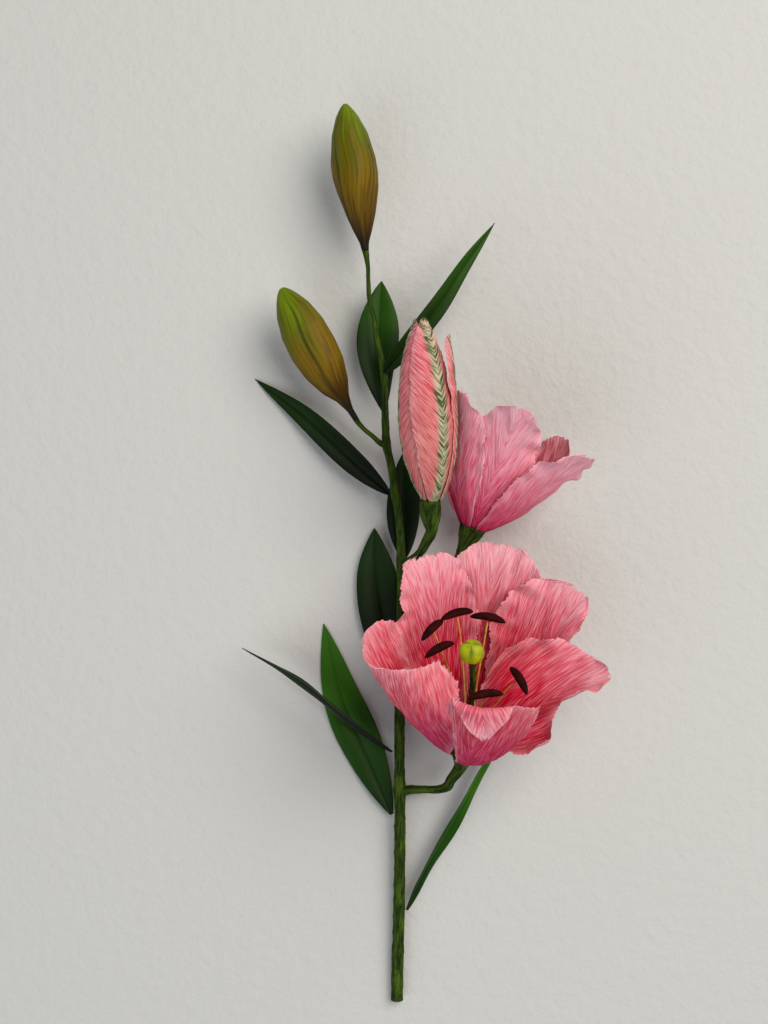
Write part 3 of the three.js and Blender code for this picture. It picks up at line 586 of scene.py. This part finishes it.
# Painted shade in the low places of the stroke relief, which the bump below sinks.
shaded_lows = add(tree, "MapRange", {"Value": strokes, "From Min": 0.52, "From Max": 0.34, "To Max": 0.5})
paint = add(tree, "Mix", {"Factor": shaded_lows, "A": paint, "B": linear("#3a2804")}, data_type="RGBA")
relief = add(tree, "Bump", {"Height": strokes, "Strength": 0.8, "Distance": 0.4 * MM})
finish_material(tree, {"Base Color": paint, "Roughness": 0.5, "Specular IOR Level": 0.15, "Normal": relief})


def make_bud(name, route, girth, seed, spin):
    """A closed bud on a given route; girth lists (share of its length, radius) from neck to tip."""
    rng = np.random.default_rng(seed)
    line, distance = evenly(route, 0.6)
    share = (distance / distance[-1])[:, None]
    turn = turns(84)[None, :]
    radius = np.interp(share[:, 0], *np.array(girth).T)
    for _ in range(3):
        radius[1:-1] = (radius[:-2] + 2 * radius[1:-1] + radius[2:]) / 4
    bend = turn + spin + 0.3 * (share - 0.5) + 0.08 * wander(share, (0.7, 0.43), rng)
    lobe = np.cos(3 * bend)
    seam = np.exp(-(((1 + lobe) / 0.035) ** 2))
    body = np.sin(np.pi * np.clip(share, 0, 1)) ** 0.6
    ridges = 0.09 * wander(turn * 12 + 2 * share, (2.1, 3.4, 1.3), rng)
    swell = 1 + 0.06 * lobe - 0.05 * seam + 0.012 * np.sin(7 * turn + 5 * share)
    skin = round_skin(line, radius[:, None] * swell + ridges * body)
    grain = np.stack([12 * np.cos(bend), distance[:, None] + 0 * turn, 12 * np.sin(bend)], axis=2)
    grain = grain + 60 * seed
    values = {"bud_grain": grain, "up_bud": share + 0 * turn, "fold": 0.6 * seam * body}
    closed_tube(f"painted_{name}", skin, values, painted_lime_crepe, [name])


make_bud(
    "top_bud",
    [(-17.2, 408.2, 23.1), (-21.2, 440, 24.4), (-27.9, 485.5, 26)],
    [(0, 1.9), (0.05, 2.4), (0.15, 5.3), (0.25, 7.8), (0.42, 11), (0.52, 12), (0.62, 11.9), (0.8, 9.4),
     (0.92, 5.8), (0.98, 2.8), (1, 1.2)],
    seed=1, spin=0.5,
)
make_bud(
    "left_bud",
    [(-21.9, 317.8, 20.6), (-28.8, 329, 21), (-45.4, 357.4, 22.5), (-61.8, 387.8, 24)],
    [(0, 1.5), (0.08, 1.7), (0.17, 3.8), (0.26, 7.8), (0.4, 11.4), (0.55, 12.8), (0.7, 12.2), (0.84, 9.4),
     (0.93, 5.9), (0.98, 3.2), (1, 1.3)],
    seed=2, spin=1.3,
)


# ---- petals: how they are cut and shaped ----
# Each petal is two halves of pink crepe, cut with the grain at a slant and glued along a midrib wire, so the
# fine ridges fan up and out from the rib. It is cupped over a thumb, and its edge is stretched until it
# ruffles.

PETAL_THICKNESS = 0.35
PETAL_LIFT = 0.6  # how far above the cup's rim the petals start
FOOT_RADII = (3.3, 5, 6.7)  # three layers, one outside the other
RIDGE_SPACING = 2.1  # the real ridges are about 1.2 mm apart; the finer ones are in the material
UNBANDED = 99  # mm from the rib, too far for the painted band to reach
CREPE_RIDGE = (0.62, 10, 1)  # mm; a little coarser than fine crepe, so that it shows
DYE_STREAK = (6, 30, 1)


def ease(x):
    """A smooth step from 0 to 1."""
    x = np.clip(x, 0, 1)
    return x * x * (3 - 2 * x)


def smoothly(stations, u):
    """A value read off (share of the length, value) stations with rounded corners, or one value."""
    if np.isscalar(stations):
        return stations + 0 * u
    places, values = np.array(stations, float).T
    return np.mean([np.interp(u + shift, places, values) for shift in (-0.06, -0.03, 0, 0.03, 0.06)], axis=0)


def compass(azimuth):
    """The directions away from a flower's axis and round it, for degrees round the axis."""
    turn = np.radians(azimuth)
    out = np.stack([np.cos(turn), np.sin(turn), 0 * turn], axis=-1)
    return out, np.stack([-out[..., 1], out[..., 0], out[..., 2]], axis=-1)


def open_petal(u, off, length, azimuth, lean, foot, bends=None, over=None):
    """Points of a petal in its flower's own frame, at shares u of its length and distances off across it.

    lean lists degrees from the axis up the midrib, and bends the inward bending radii of the two halves. over
    rolls the margin of one half back outward: [half, where the roll starts, how wide it is, degrees].
    """
    knots = np.linspace(0, 1, 121)
    tilt = np.radians(smoothly(lean, knots))[:, None]
    heading = compass(smoothly(azimuth, knots))[0]
    way = np.cos(tilt) * np.array([0, 0, 1]) + np.sin(tilt) * heading
    travel = np.concatenate([np.zeros((1, 3)), np.cumsum((way[1:] + way[:-1]) / 2, axis=0)]) * length / 120
    spine = heading[0] * foot + np.array([0, 0, PETAL_LIFT]) + travel
    rib = np.stack([np.interp(u, knots, column) for column in spine.T], axis=-1)
    tilt = np.radians(smoothly(lean, u))
    out, side = compass(smoothly(azimuth, u))
    if bends:
        bend = np.where(off < 0, smoothly(bends[0], u), smoothly(bends[1], u))
    else:
        bend = np.linalg.norm(rib[..., :2], axis=-1) / np.maximum(np.cos(tilt), 0.35)
    far = np.abs(off) * np.linspace(0, 1, 41)[:, None, None]
    turn = far / bend
    if over:
        half, begin, span, degrees = over
        turn = turn - np.radians(smoothly(degrees, u)) * ease((far - begin) / span) * (off * half > 0)
    sideways = (off * np.cos(turn).mean(axis=0))[..., None]
    inward = (np.abs(off) * np.sin(turn).mean(axis=0))[..., None]
    outer = np.cos(tilt)[..., None] * out - np.sin(tilt)[..., None] * np.array([0, 0, 1])
    return rib + side * sideways - outer * inward


def petal_outward(surface, u, off):
    """The outward direction of a petal's surface, from points a little way off along it and across it."""
    along = surface(u + 0.004, off) - surface(np.maximum(u - 0.004, 0), off)
    return unit(np.cross(surface(u, off + 0.3) - surface(u, off - 0.3), along))


def folded_petal(u, off, length, fold=None, **shape):
    """The petal, with its tip turned down outside: fold is [crease, slope, radius, degrees]."""
    def opened(u, off):
        return open_petal(u, off, length, **shape)

    if fold is None:
        return opened(u, off)
    crease, slope, radius, degrees = fold
    way = unit(np.array([1, -slope]))
    beyond = np.maximum((u - crease) * length * way[0] + off * way[1], 0)
    held, held_off = u - beyond * way[0] / length, off - beyond * way[1]
    base = opened(held, held_off)
    along = unit(base - opened(held - 0.01 * way[0], held_off - 0.01 * length * way[1]))
    turn = np.minimum(beyond / radius, np.radians(degrees))
    rest = beyond - turn * radius
    ahead = radius * np.sin(turn) + rest * np.cos(turn)
    out = radius * (1 - np.cos(turn)) + rest * np.sin(turn)
    return base + along * ahead[..., None] + petal_outward(opened, held, held_off) * out[..., None]


def make_petal(name, flower, material, rows, columns, seed, half_width, grain, foot_width=2.6, shoulder=1.6,
               blunt=0.45, edges=(1, 1), ruffle=1.6, rumple=0.5, dye=0, banded=True, **shape):
    """One petal: its cut outline on the surface above, with ruffled margins, midrib, rumples and ridges."""
    rng = np.random.default_rng(seed)
    u, v = np.meshgrid(np.linspace(0, 1, rows + 1), np.linspace(-1, 1, columns + 1), indexing="ij")
    far = u * shape["length"]
    margins = [
        wander(far, (29, 17), rng) * 0.035 + wander(far, (5.3, 2.9, 1.9), rng) * 0.024 for _ in range(2)
    ]
    ragged = np.where(v < 0, *margins) * np.clip(u * 4, 0, 1)
    nibbles = 0.5 + 0.3 * wander(v * 20, (17, 6.1, 2.9), rng)
    cut = u * (1 - 0.03 * np.clip(nibbles, 0, 1) * u**8)
    wide = foot_width * (1 - cut) + half_width * np.clip(np.sin(np.pi * cut**shoulder), 0, 1) ** blunt
    wide = wide * np.where(v < 0, smoothly(edges[0], cut), smoothly(edges[1], cut))
    off = v * np.maximum(wide, 0.4) * (1 + ragged)

    def surface(u, off):
        return folded_petal(u, off, **shape)

    smooth = surface(cut, off)
    outward = petal_outward(surface, cut, off)
    slant = np.radians(grain)
    across_grain = np.abs(off) * np.cos(slant) - far * np.sin(slant)
    along_grain = np.abs(off) * np.sin(slant) + far * np.cos(slant)
    waver = 0.25 * wander(along_grain, (33, 19), rng) + 0.2 * wander(across_grain, (11, 7), rng)
    ridges = np.sin(2 * np.pi * (across_grain / RIDGE_SPACING + waver))
    ridges = 0.15 * ridges * (0.7 + 0.3 * wander(along_grain + 3 * across_grain, (21, 13), rng))
    opening = np.clip((u - 0.3) / 0.5, 0, 1)
    waves = np.where(v < 0, wander(far, (31, 19, 12), rng), wander(far, (27, 17, 11), rng))
    ruffles = ruffle * np.abs(v) ** 3 * waves * opening
    rumples = rumple * wander(across_grain, (15, 9), rng) * wander(along_grain, (48, 31), rng)
    rumples = rumples * np.clip(3 * u, 0, 1)
    midrib = 0.4 * np.exp(-((off / 1.8) ** 2)) * (1 - u) ** 0.5
    middle = smooth + outward * (ridges * np.clip(4 * u, 0, 1) + ruffles + rumples + midrib)[..., None]
    origin, ways = flower_frame(*flower)
    thin = 1 - 0.5 * np.maximum(np.abs(v), u)[..., None] ** 12
    values = {
        "grain": np.stack([across_grain, along_grain, 50 * seed + 0.15 * off], axis=2),
        "up_petal": u - dye,
        "from_rib": np.abs(off) if banded else np.full_like(off, UNBANDED),
        "margin": np.maximum(np.abs(v), u**3) ** 6,
    }
    closed_sheet(f"crepe_{name}", origin + middle @ ways, outward @ ways * thin, PETAL_THICKNESS, values,
                 material, [name])


def dyed_crepe(name, inner, outer, rim, stripe=None, bleed=0.22):
    """Pink crepe dipped in dye at the foot: colour creeps up the grain in streaks. The ridge crests carry a
    painted highlight and the hollows painted shade.
    """
    material, tree = new_material(name)
    grain = add(tree, "Attribute", attribute_name="grain").outputs["Vector"]
    up_petal = add(tree, "Attribute", attribute_name="up_petal").outputs["Fac"]
    stretched = add(tree, "Mapping", {"Vector": grain, "Scale": [1 / mm for mm in CREPE_RIDGE]})
    ridges = add(tree, "TexNoise", {"Vector": stretched, "Scale": 1, "Detail": 1, "Roughness": 0.5})
    stretched = add(tree, "Mapping", {"Vector": grain, "Scale": [1 / mm for mm in DYE_STREAK]})
    streaks = add(tree, "TexNoise", {"Vector": stretched, "Scale": 1, "Detail": 3, "Roughness": 0.6})
    centred = add(tree, "Math", {"Value": streaks, "Value_001": 0.5}, operation="SUBTRACT")
    creep = add(
        tree, "Math", {"Value": centred, "Value_001": bleed, "Value_002": up_petal}, operation="MULTIPLY_ADD",
    )
    faces = [add(tree, "ValToRGB", {"Fac": creep}, stops=stops) for stops in (inner, outer)]
    side = add(tree, "Attribute", attribute_name="outer").outputs["Fac"]
    dyed = add(tree, "Mix", {"Factor": side, "A": faces[0], "B": faces[1]}, data_type="RGBA")
    margin = add(tree, "Attribute", attribute_name="margin").outputs["Fac"]
    margin = add(tree, "Math", {"Value": margin, "Value_001": 0.55}, operation="MULTIPLY")
    dyed = add(tree, "Mix", {"Factor": margin, "A": dyed, "B": linear(rim)}, data_type="RGBA")
    if stripe:
        from_rib = add(tree, "Attribute", attribute_name="from_rib").outputs["Fac"]
        wobble = add(
            tree, "Math", {"Value": ridges, "Value_001": 5, "Value_002": from_rib}, operation="MULTIPLY_ADD",
        )
        band = add(tree, "MapRange", {"Value": wobble, "From Min": 7, "From Max": 4.4})
        band = add(tree, "Math", {"Value": band, "Value_001": side}, operation="MULTIPLY")
        # The band is painted lighter on the ridge crests and darker in the hollows: painted highlight and
        # shade.
        lime = add(tree, "ValToRGB", {"Fac": ridges}, stops=[(0.38, stripe[0]), (0.62, stripe[1])])
        dyed = add(tree, "Mix", {"Factor": band, "A": dyed, "B": lime}, data_type="RGBA")
    # Painted highlight: the ridge crests pale towards the rim colour, more so towards the tip.
    lit_crests = add(tree, "MapRange", {"Value": ridges, "From Min": 0.5, "From Max": 0.68, "To Max": 0.6})
    lit_crests = add(tree, "Math", {"Value": lit_crests, "Value_001": up_petal}, operation="MULTIPLY", use_clamp=True)
    dyed = add(tree, "Mix", {"Factor": lit_crests, "A": dyed, "B": linear(rim)}, data_type="RGBA")
    # Painted shade: the hollows between the ridges are darkened.
    shaded_hollows = add(tree, "MapRange", {"Value": ridges, "From Min": 0.52, "From Max": 0.34, "To Max": 0.7})
    hollow_shade_colour = add(tree, "Mix", {"Factor": 1, "A": dyed, "B": dyed}, data_type="RGBA", blend_type="MULTIPLY")
    dyed = add(tree, "Mix", {"Factor": shaded_hollows, "A": dyed, "B": hollow_shade_colour}, data_type="RGBA")
    relief = add(tree, "Bump", {"Height": ridges, "Strength": 1, "Distance": 0.6 * MM})
    finish_material(
        tree, {"Base Color": dyed, "Roughness": 0.82, "Specular IOR Level": 0.15, "Normal": relief},
    )
    return material


# ---- half-open bud ----
# Three outer petals close round three inner ones, their tips drawn together. The grain slants steeply from
# the ribs, and a band of grey-green paint runs up the outside of each outer petal's rib.

# Salmon-pink crepe with the grey-green band worked in along the ribs; the deep red of the inner face is
# painted shade inside the closing bud.
pale_pink_crepe = dyed_crepe(
    "pale_pink_crepe",
    inner=[(0.1, "#8c1230"), (0.5, "#b42f45"), (0.9, "#cf4f60")],
    outer=[(0.02, "#d07070"), (0.35, "#e08482"), (0.8, "#ea7e8a"), (1, "#f292a0")],
    rim="#f8bab8",
    stripe=("#6c7850", "#c4c5a2"),
    bleed=0.25,
)
BUD_LEAN = [(0, 34), (0.15, 18), (0.4, 2), (0.6, -6), (0.8, -15), (1, -26)]
UPRIGHT_LEAN = [(0, 34), (0.15, 18), (0.4, 4), (0.6, 1), (0.8, -3), (1, -8)]
for seed, (name, petal) in enumerate([
    ("outer_petal_left", dict(azimuth=180, length=99, half_width=13.8, foot=2.7, edges=(1, 1.2))),
    ("outer_petal_front", dict(
        azimuth=-55, length=99, half_width=14.4, foot=4.1,
        edges=(1.12, [(0, 0.6), (0.4, 0.6), (0.6, 0.5), (1, 0.5)]),
    )),
    ("outer_petal_right", dict(
        azimuth=-4, length=88, half_width=13.8, foot=5.5, shoulder=1.4, blunt=0.3, ruffle=0.8,
        lean=UPRIGHT_LEAN,
        edges=([(0, 0.6), (0.5, 0.45), (0.8, 0.8), (1, 0.9)], [(0, 0.7), (0.4, 0.2), (0.7, 0.2), (1, 0.5)]),
    )),
    ("inner_petal_right", dict(azimuth=0, length=86, half_width=8, foot=1.5, foot_width=1, banded=False)),
    ("inner_petal_back", dict(azimuth=120, length=86, half_width=9, foot=1.5, foot_width=1, banded=False)),
    ("inner_petal_left", dict(azimuth=-120, length=90, half_width=10, foot=1.4, foot_width=1, banded=False)),
]):
    petal = dict(lean=BUD_LEAN, foot_width=2, shoulder=1.15, blunt=0.6, ruffle=0.3, rumple=0.2) | petal
    make_petal(
        f"half_open_bud_{name}", HALF_OPEN_BUD, pale_pink_crepe, rows=120, columns=52, seed=seed, grain=38,
        **petal,
    )


# ---- back bloom ----
# Six petals glued on round a swollen cup, facing away up the stem, so their plain outsides show. The lower
# three are pressed flatter where the bloom lies on the table.

# Plain pink crepe: a cool pale pink that deepens to magenta where dye has crept up from the foot. The inner
# face is painted darker than the outer: painted shade inside the cup.
pink_crepe = dyed_crepe(
    "pink_crepe",
    inner=[(0.05, "#981038"), (0.3, "#bf2c50"), (0.6, "#d9647a"), (1, "#e88e9c")],
    outer=[(0.03, "#c81f5a"), (0.25, "#e4587e"), (0.6, "#fa9db2"), (1, "#ffc4d2")],
    rim="#ffc6d2",
)
OPEN_LEAN = [(0, 48), (0.2, 34), (0.5, 22), (0.75, 24), (1, 40)]
WIDE_LEAN = [(0, 52), (0.2, 40), (0.5, 30), (0.75, 32), (1, 46)]
PRESSED_LEAN = [(0, 48), (0.2, 42), (0.45, 28), (0.7, 10), (1, 6)]
for seed, (name, layer, azimuth, length, half_width, lean) in enumerate([
    ("left", 1, -145, 79, 16, OPEN_LEAN),
    ("top", 0, -98, 84, 17, OPEN_LEAN),
    ("right", 1, -42, 77, 19, WIDE_LEAN),
    ("lower_right", 2, 32, 72, 17, PRESSED_LEAN),
    ("bottom", 1, 90, 72, 17, PRESSED_LEAN),
    ("lower_left", 2, 155, 68, 16.5, PRESSED_LEAN),
]):
    make_petal(
        f"back_bloom_petal_{name}", BACK_BLOOM, pink_crepe, rows=110, columns=66, seed=10 + seed, grain=15,
        azimuth=azimuth, length=length, half_width=half_width, lean=lean, foot=FOOT_RADII[layer],
    )


# ---- front bloom petals ----
# Six larger petals, opened wider, with the throat dyed crimson and deepened inside by painted shade. The
# front petal's tip is folded down outside, the left one stands up steeply beside it, and the right one's
# lower margin is rolled back.

# The same crepe dipped in crimson: blood red in the throat, thinning to pale pink at the rim. The inner face
# runs darker than the outer, which is painted shade inside the cup.
throat_dyed_shaded_crepe = dyed_crepe(
    "throat_dyed_shaded_crepe",
    inner=[(0.1, "#8e0028"), (0.32, "#c60032"), (0.47, "#d61f46"), (0.62, "#e45a72"), (0.82, "#f28ea0"),
           (1, "#fbb2c2")],
    outer=[(0.05, "#bd0f58"), (0.3, "#d63464"), (0.55, "#e45e72"), (1, "#f493a4")],
    rim="#ffc2cc",
)
for seed, (name, petal) in enumerate([
    ("back_left", dict(
        length=105, half_width=23, foot=5.4, shoulder=1.6, blunt=0.28, ruffle=2, dye=0.02,
        azimuth=112,
        lean=[(0, 52), (0.2, 48), (0.45, 36), (0.7, 28), (0.88, 34), (1, 60)],
        bends=[[(0, 6), (0.3, 34), (1, 46)], [(0, 6), (0.3, 44), (0.6, 60), (1, 60)]],
        edges=[
            [(0, 0.3), (0.2, 0.5), (0.4, 0.65), (0.6, 0.95), (1, 0.8)],
            [(0, 0.4), (0.2, 0.8), (0.35, 1.1), (0.6, 1.1), (0.8, 1), (1, 1.1)],
        ],
    )),
    ("back", dict(
        length=110, half_width=25, foot=6.7, shoulder=1.5, blunt=0.36, ruffle=1.2, dye=-0.04,
        azimuth=83,
        lean=[(0, 60), (0.2, 52), (0.45, 38), (0.7, 26), (0.88, 33), (1, 60)],
        bends=[[(0, 8), (0.3, 70), (1, 100)], [(0, 8), (0.3, 70), (1, 90)]],
        edges=[
            [(0, 1), (0.7, 1.1), (1, 1.3)],
            1,
        ],
    )),
    ("right_back", dict(
        length=103, half_width=25, foot=5.4, shoulder=1.4, blunt=0.42, ruffle=1.8, dye=0.05,
        azimuth=43,
        lean=[(0, 56), (0.2, 53), (0.45, 42), (0.7, 31), (0.88, 40), (1, 60)],
        bends=[[(0, 6), (0.3, 50), (0.7, 90), (1, 90)], [(0, 6), (0.3, 30), (1, 34)]],
        edges=[
            [(0, 0.6), (0.2, 0.8), (0.4, 0.65), (0.6, 0.4), (0.75, 0.36), (0.9, 0.6), (1, 0.5)],
            [(0, 0.4), (0.2, 0.6), (0.5, 1.1), (0.8, 1.5), (1, 1.3)],
        ],
    )),
    ("right", dict(
        length=87, half_width=24, foot=3.3, shoulder=1.2, blunt=0.6, ruffle=1.6, dye=0.03,
        azimuth=[(0, 10), (0.45, 18), (1, -2)],
        lean=[(0, 42), (0.2, 46), (0.4, 52), (0.6, 54), (0.8, 56), (1, 64)],
        bends=[[(0, 6), (0.2, 9), (0.8, 9), (1, 12)], [(0, 6), (0.2, 12), (0.4, 18), (0.6, 22), (1, 28)]],
        over=[-1, 9, 10, [(0, 0), (0.2, 60), (0.3, 150), (0.5, 150), (0.7, 100), (1, 60)]],
        edges=[
            [(0, 1), (0.2, 1.2), (0.4, 1.5), (0.5, 1.3), (0.6, 0.8), (0.7, 0.65), (1, 1)],
            [(0, 0.8), (0.4, 1.7), (0.6, 1.7), (0.75, 1.4), (1, 1)],
        ],
    )),
    ("front", dict(
        length=119, half_width=26, foot=5, shoulder=1.05, blunt=0.7, ruffle=0.6, rumple=0.35, dye=0.16,
        azimuth=-97,
        lean=[(0, 52), (0.2, 40), (0.45, 16), (0.7, 4), (1, 0)],
        bends=[[(0, 6), (0.2, 20), (1, 26)], [(0, 6), (0.2, 22), (0.5, 32), (1, 32)]],
        fold=[0.81, 0.1, 2.2, 165],
        edges=[
            [(0, 0.5), (0.2, 0.25), (0.4, 0.25), (0.6, 0.4), (0.75, 0.85), (0.85, 0.8), (1, 0.5)],
            [(0, 1), (0.3, 1.1), (0.5, 1.4), (0.7, 1.5), (0.8, 1), (1, 0.5)],
        ],
    )),
    ("left", dict(
        length=93, half_width=30, foot=6.7, shoulder=1.3, blunt=0.4, ruffle=1, dye=0.14,
        azimuth=-180,
        lean=[(0, 44), (0.4, 39), (0.7, 33), (1, 26)],
        bends=[[(0, 8), (0.2, 16), (0.5, 25), (1, 50)], [(0, 8), (0.2, 20), (0.5, 21), (0.75, 17), (1, 15)]],
        edges=[
            [(0, 0.4), (0.5, 0.6), (0.7, 0.85), (0.85, 1.4), (1, 1)],
            [(0, 0.6), (0.15, 0.9), (0.3, 1.3), (0.6, 1.65), (0.8, 1.85), (1, 1.3)],
        ],
    )),
]):
    make_petal(
        f"front_bloom_petal_{name}", FRONT_BLOOM, throat_dyed_shaded_crepe, rows=150, columns=90, seed=20 + seed,
        grain=11, **petal,
    )


# ---- stamens and pistils ----
# Filaments of twisted yellow paper on fine wire carry rolled maroon anthers, hung across their tips and
# creased lengthwise. The pistil is wound green, with a three-lobed lime head.

# Dyed tissue twisted to a cord: an uneven ochre with no shine.
twisted_yellow_paper, tree = new_material("twisted_yellow_paper")
place = add(tree, "TexCoord").outputs["Object"]
twist = add(tree, "TexNoise", {"Vector": place, "Scale": 1 / (2.5 * MM), "Detail": 3})
ochre = add(tree, "ValToRGB", {"Fac": twist}, stops=[(0.3, "#b9721c"), (0.7, "#e0b04c")])
finish_material(tree, {"Base Color": ochre, "Roughness": 0.6})

# Crepe rolled up tight and creased: a dull, near-black maroon that shows redder in the crease.
rolled_maroon_paper, tree = new_material("rolled_maroon_paper")
place = add(tree, "TexCoord").outputs["Object"]
nap = add(tree, "TexNoise", {"Vector": place, "Scale": 1 / (0.5 * MM), "Detail": 3})
cloud = add(tree, "TexNoise", {"Vector": place, "Scale": 1 / (4 * MM), "Detail": 2})
maroon = add(tree, "ValToRGB", {"Fac": cloud}, stops=[(0.3, "#1a0302"), (0.7, "#3f0806")])
seam = add(tree, "Attribute", attribute_name="seam").outputs["Fac"]
maroon = add(tree, "Mix", {"Factor": seam, "A": maroon, "B": linear("#5a120c")}, data_type="RGBA")
relief = add(tree, "Bump", {"Height": nap, "Strength": 0.6, "Distance": 0.15 * MM})
finish_material(tree, {"Base Color": maroon, "Roughness": 0.75, "Specular IOR Level": 0.1, "Normal": relief})

# Lime paper smoothed over a ball and glazed: bright, with a soft shine, and painted shade of darker green in
# the grooves.
glazed_lime_paper, tree = new_material("glazed_lime_paper")
place = add(tree, "TexCoord").outputs["Object"]
cloud = add(tree, "TexNoise", {"Vector": place, "Scale": 1 / (5 * MM), "Detail": 3})
lime = add(tree, "ValToRGB", {"Fac": cloud}, stops=[(0.3, "#8a9400"), (0.7, "#c0ca04")])
seam = add(tree, "Attribute", attribute_name="seam").outputs["Fac"]
# Painted shade in the grooves between the lobes.
lime = add(tree, "Mix", {"Factor": seam, "A": lime, "B": linear("#4f6404")}, data_type="RGBA")
finish_material(tree, {"Base Color": lime, "Roughness": 0.45, "Specular IOR Level": 0.3})


def local(flower, points):
    """Points in a flower's own frame, moved to where the flower stands."""
    origin, ways = flower_frame(*flower)
    return origin + np.array(points, float) @ ways


def thread(name, flower, stops, material, node, sides=12, seed=0):
    """A thin round piece along [x, y, z, radius] stops in a flower's own frame."""
    rng = np.random.default_rng(seed)
    route = np.column_stack([local(flower, [s[:3] for s in stops]), [s[3] for s in stops]])
    line, distance = evenly(route, 0.7)
    radius = line[:, 3:4] * (1 + 0.08 * wander(distance[:, None] + turns(sides)[None, :], (5, 3.1), rng))
    skin = round_skin(line[:, :3], radius, facing=(0.3, 0.2, 1))
    values = {"tape_grain": tape_grain_at(distance[:, None], turns(sides)[None, :]), "strip_step_shade": 0 * radius}
    closed_tube(name, skin, values, material, [node])


ANTHER_LENGTH, ANTHER_WIDTH, ANTHER_DEPTH, ANTHER_ARCH = 19, 4.6, 3.6, 2.6
FILAMENT_RADIUS = 0.5
UNDER_ANTHER = ANTHER_DEPTH / 2 + 0.3
for number, (root, azimuth, reach, height, turn) in enumerate([
    (130, 132, 36, 66, 11),
    (95, 108, 37, 69.5, 6),
    (58, 82, 37, 66.5, 0),
    (172, 151, 24, 68, -24),
    (-100, -87, 17, 68, 12),
    (-25, -8, 19, 65, 31),
], start=1):
    out = np.array([np.cos(np.radians(azimuth)), np.sin(np.radians(azimuth)), 0])
    around = np.array([-out[1], out[0], 0])
    up = np.array([0, 0, 1])
    foot = np.array([2.4 * np.cos(np.radians(root)), 2.4 * np.sin(np.radians(root)), 0.8])
    thread(
        f"twisted_filament_{number}", FRONT_BLOOM,
        [(*foot, FILAMENT_RADIUS),
         (*(foot * 0.7 + out * (1 + reach * 0.14) + up * height * 0.3), FILAMENT_RADIUS),
         (*(out * (2.3 + reach * 0.42) + up * height * 0.62), FILAMENT_RADIUS),
         (*(out * reach * 0.82 + up * height * 0.88), FILAMENT_RADIUS * 0.9),
         (*(out * reach + up * (height - UNDER_ANTHER)), FILAMENT_RADIUS * 0.8)],
        twisted_yellow_paper, f"filament_{number}", seed=number,
    )
    lie = around * np.cos(np.radians(turn)) - out * np.sin(np.radians(turn))
    s = np.linspace(-0.5, 0.5, 49)[:, None]
    arch = up * ANTHER_ARCH * 4 * s * s
    line = local(FRONT_BLOOM, out * reach + up * height + lie * s * ANTHER_LENGTH - arch)
    round_way = turns(28)[None, :]
    girth = np.clip(1 - (2 * np.abs(s)) ** 2.4, 0.004, 1) ** 0.62
    seam = np.exp(-((np.sin((round_way + np.pi / 2) / 2) / 0.12) ** 2)) * girth
    flat = np.sqrt(np.cos(round_way) ** 2 + (np.sin(round_way) * ANTHER_DEPTH / ANTHER_WIDTH) ** 2)
    radius = ANTHER_WIDTH / 2 * girth * flat * (1 - 0.14 * seam)
    ways = flower_frame(*FRONT_BLOOM)[1]
    skin = round_skin(line, radius, facing=up @ ways)
    closed_tube(f"rolled_anther_{number}", skin, {"seam": 0.5 * seam}, rolled_maroon_paper,
                [f"anther_{number}"])

thread(
    "wound_style", FRONT_BLOOM,
    [(0, 0, 0.8, 1.1), (-0.4, 1.6, 18, 1.25), (-1, 2.4, 36, 1.4), (-3, 2.2, 55, 1.45),
     (-5.8, 1.2, 71.6, 1.6)],
    green_crepe_tape, "style", sides=20,
)


def lobed_head(name, flower, start, end, radius_most, material, node):
    """A round head with three lobes, parted by grooves that meet in a dimple at the top."""
    s = np.linspace(0, 1, 61)[:, None]
    line = local(flower, np.array(start) * (1 - s) + np.array(end) * s)
    ball = np.clip(1 - np.abs(2 * s - 1) ** 2.3, 0, 1) ** 0.5
    turn = turns(60)[None, :]
    groove = np.exp(-((np.sin(1.5 * turn + 0.4) / 0.3) ** 2))
    radius = radius_most * np.maximum(ball, 0.06) * (1 - (0.08 + 0.3 * s**3) * groove)
    closed_tube(name, round_skin(line, radius), {"seam": 0.7 * groove * s}, material, [node])


lobed_head("lobed_stigma", FRONT_BLOOM, (-5.9, 1.2, 72), (-7.8, 0.6, 83.5), 6.3, glazed_lime_paper,
           "stigma")

for k in range(6):
    out = np.array([np.cos(np.radians(60 * k + 30)), np.sin(np.radians(60 * k + 30)), 0])
    stops = [(1.9, 0.6, 0.6), (3.4, 18, 0.6), (6.4, 34, 0.6), (9, 43, 0.8), (10, 46, 1.9), (12, 51, 2.2),
             (14.6, 56.5, 1.7), (16.2, 59, 0.6)]
    route = [(*(out[:2] * reach), height, r) for reach, height, r in stops]
    thread(f"folded_stamen_{k + 1}", BACK_BLOOM, route, twisted_yellow_paper,
           f"back_bloom_stamen_{k + 1}", seed=k)
thread(
    "wound_pistil", BACK_BLOOM,
    [(0, 0, height, r) for height, r in ((0.6, 0.9), (20, 1.1), (44, 1.1), (50, 1.4), (52, 3.4), (55, 4.4),
                                         (58.5, 4), (60.4, 1.8))],
    green_crepe_tape, "back_bloom_pistil", sides=24,
)
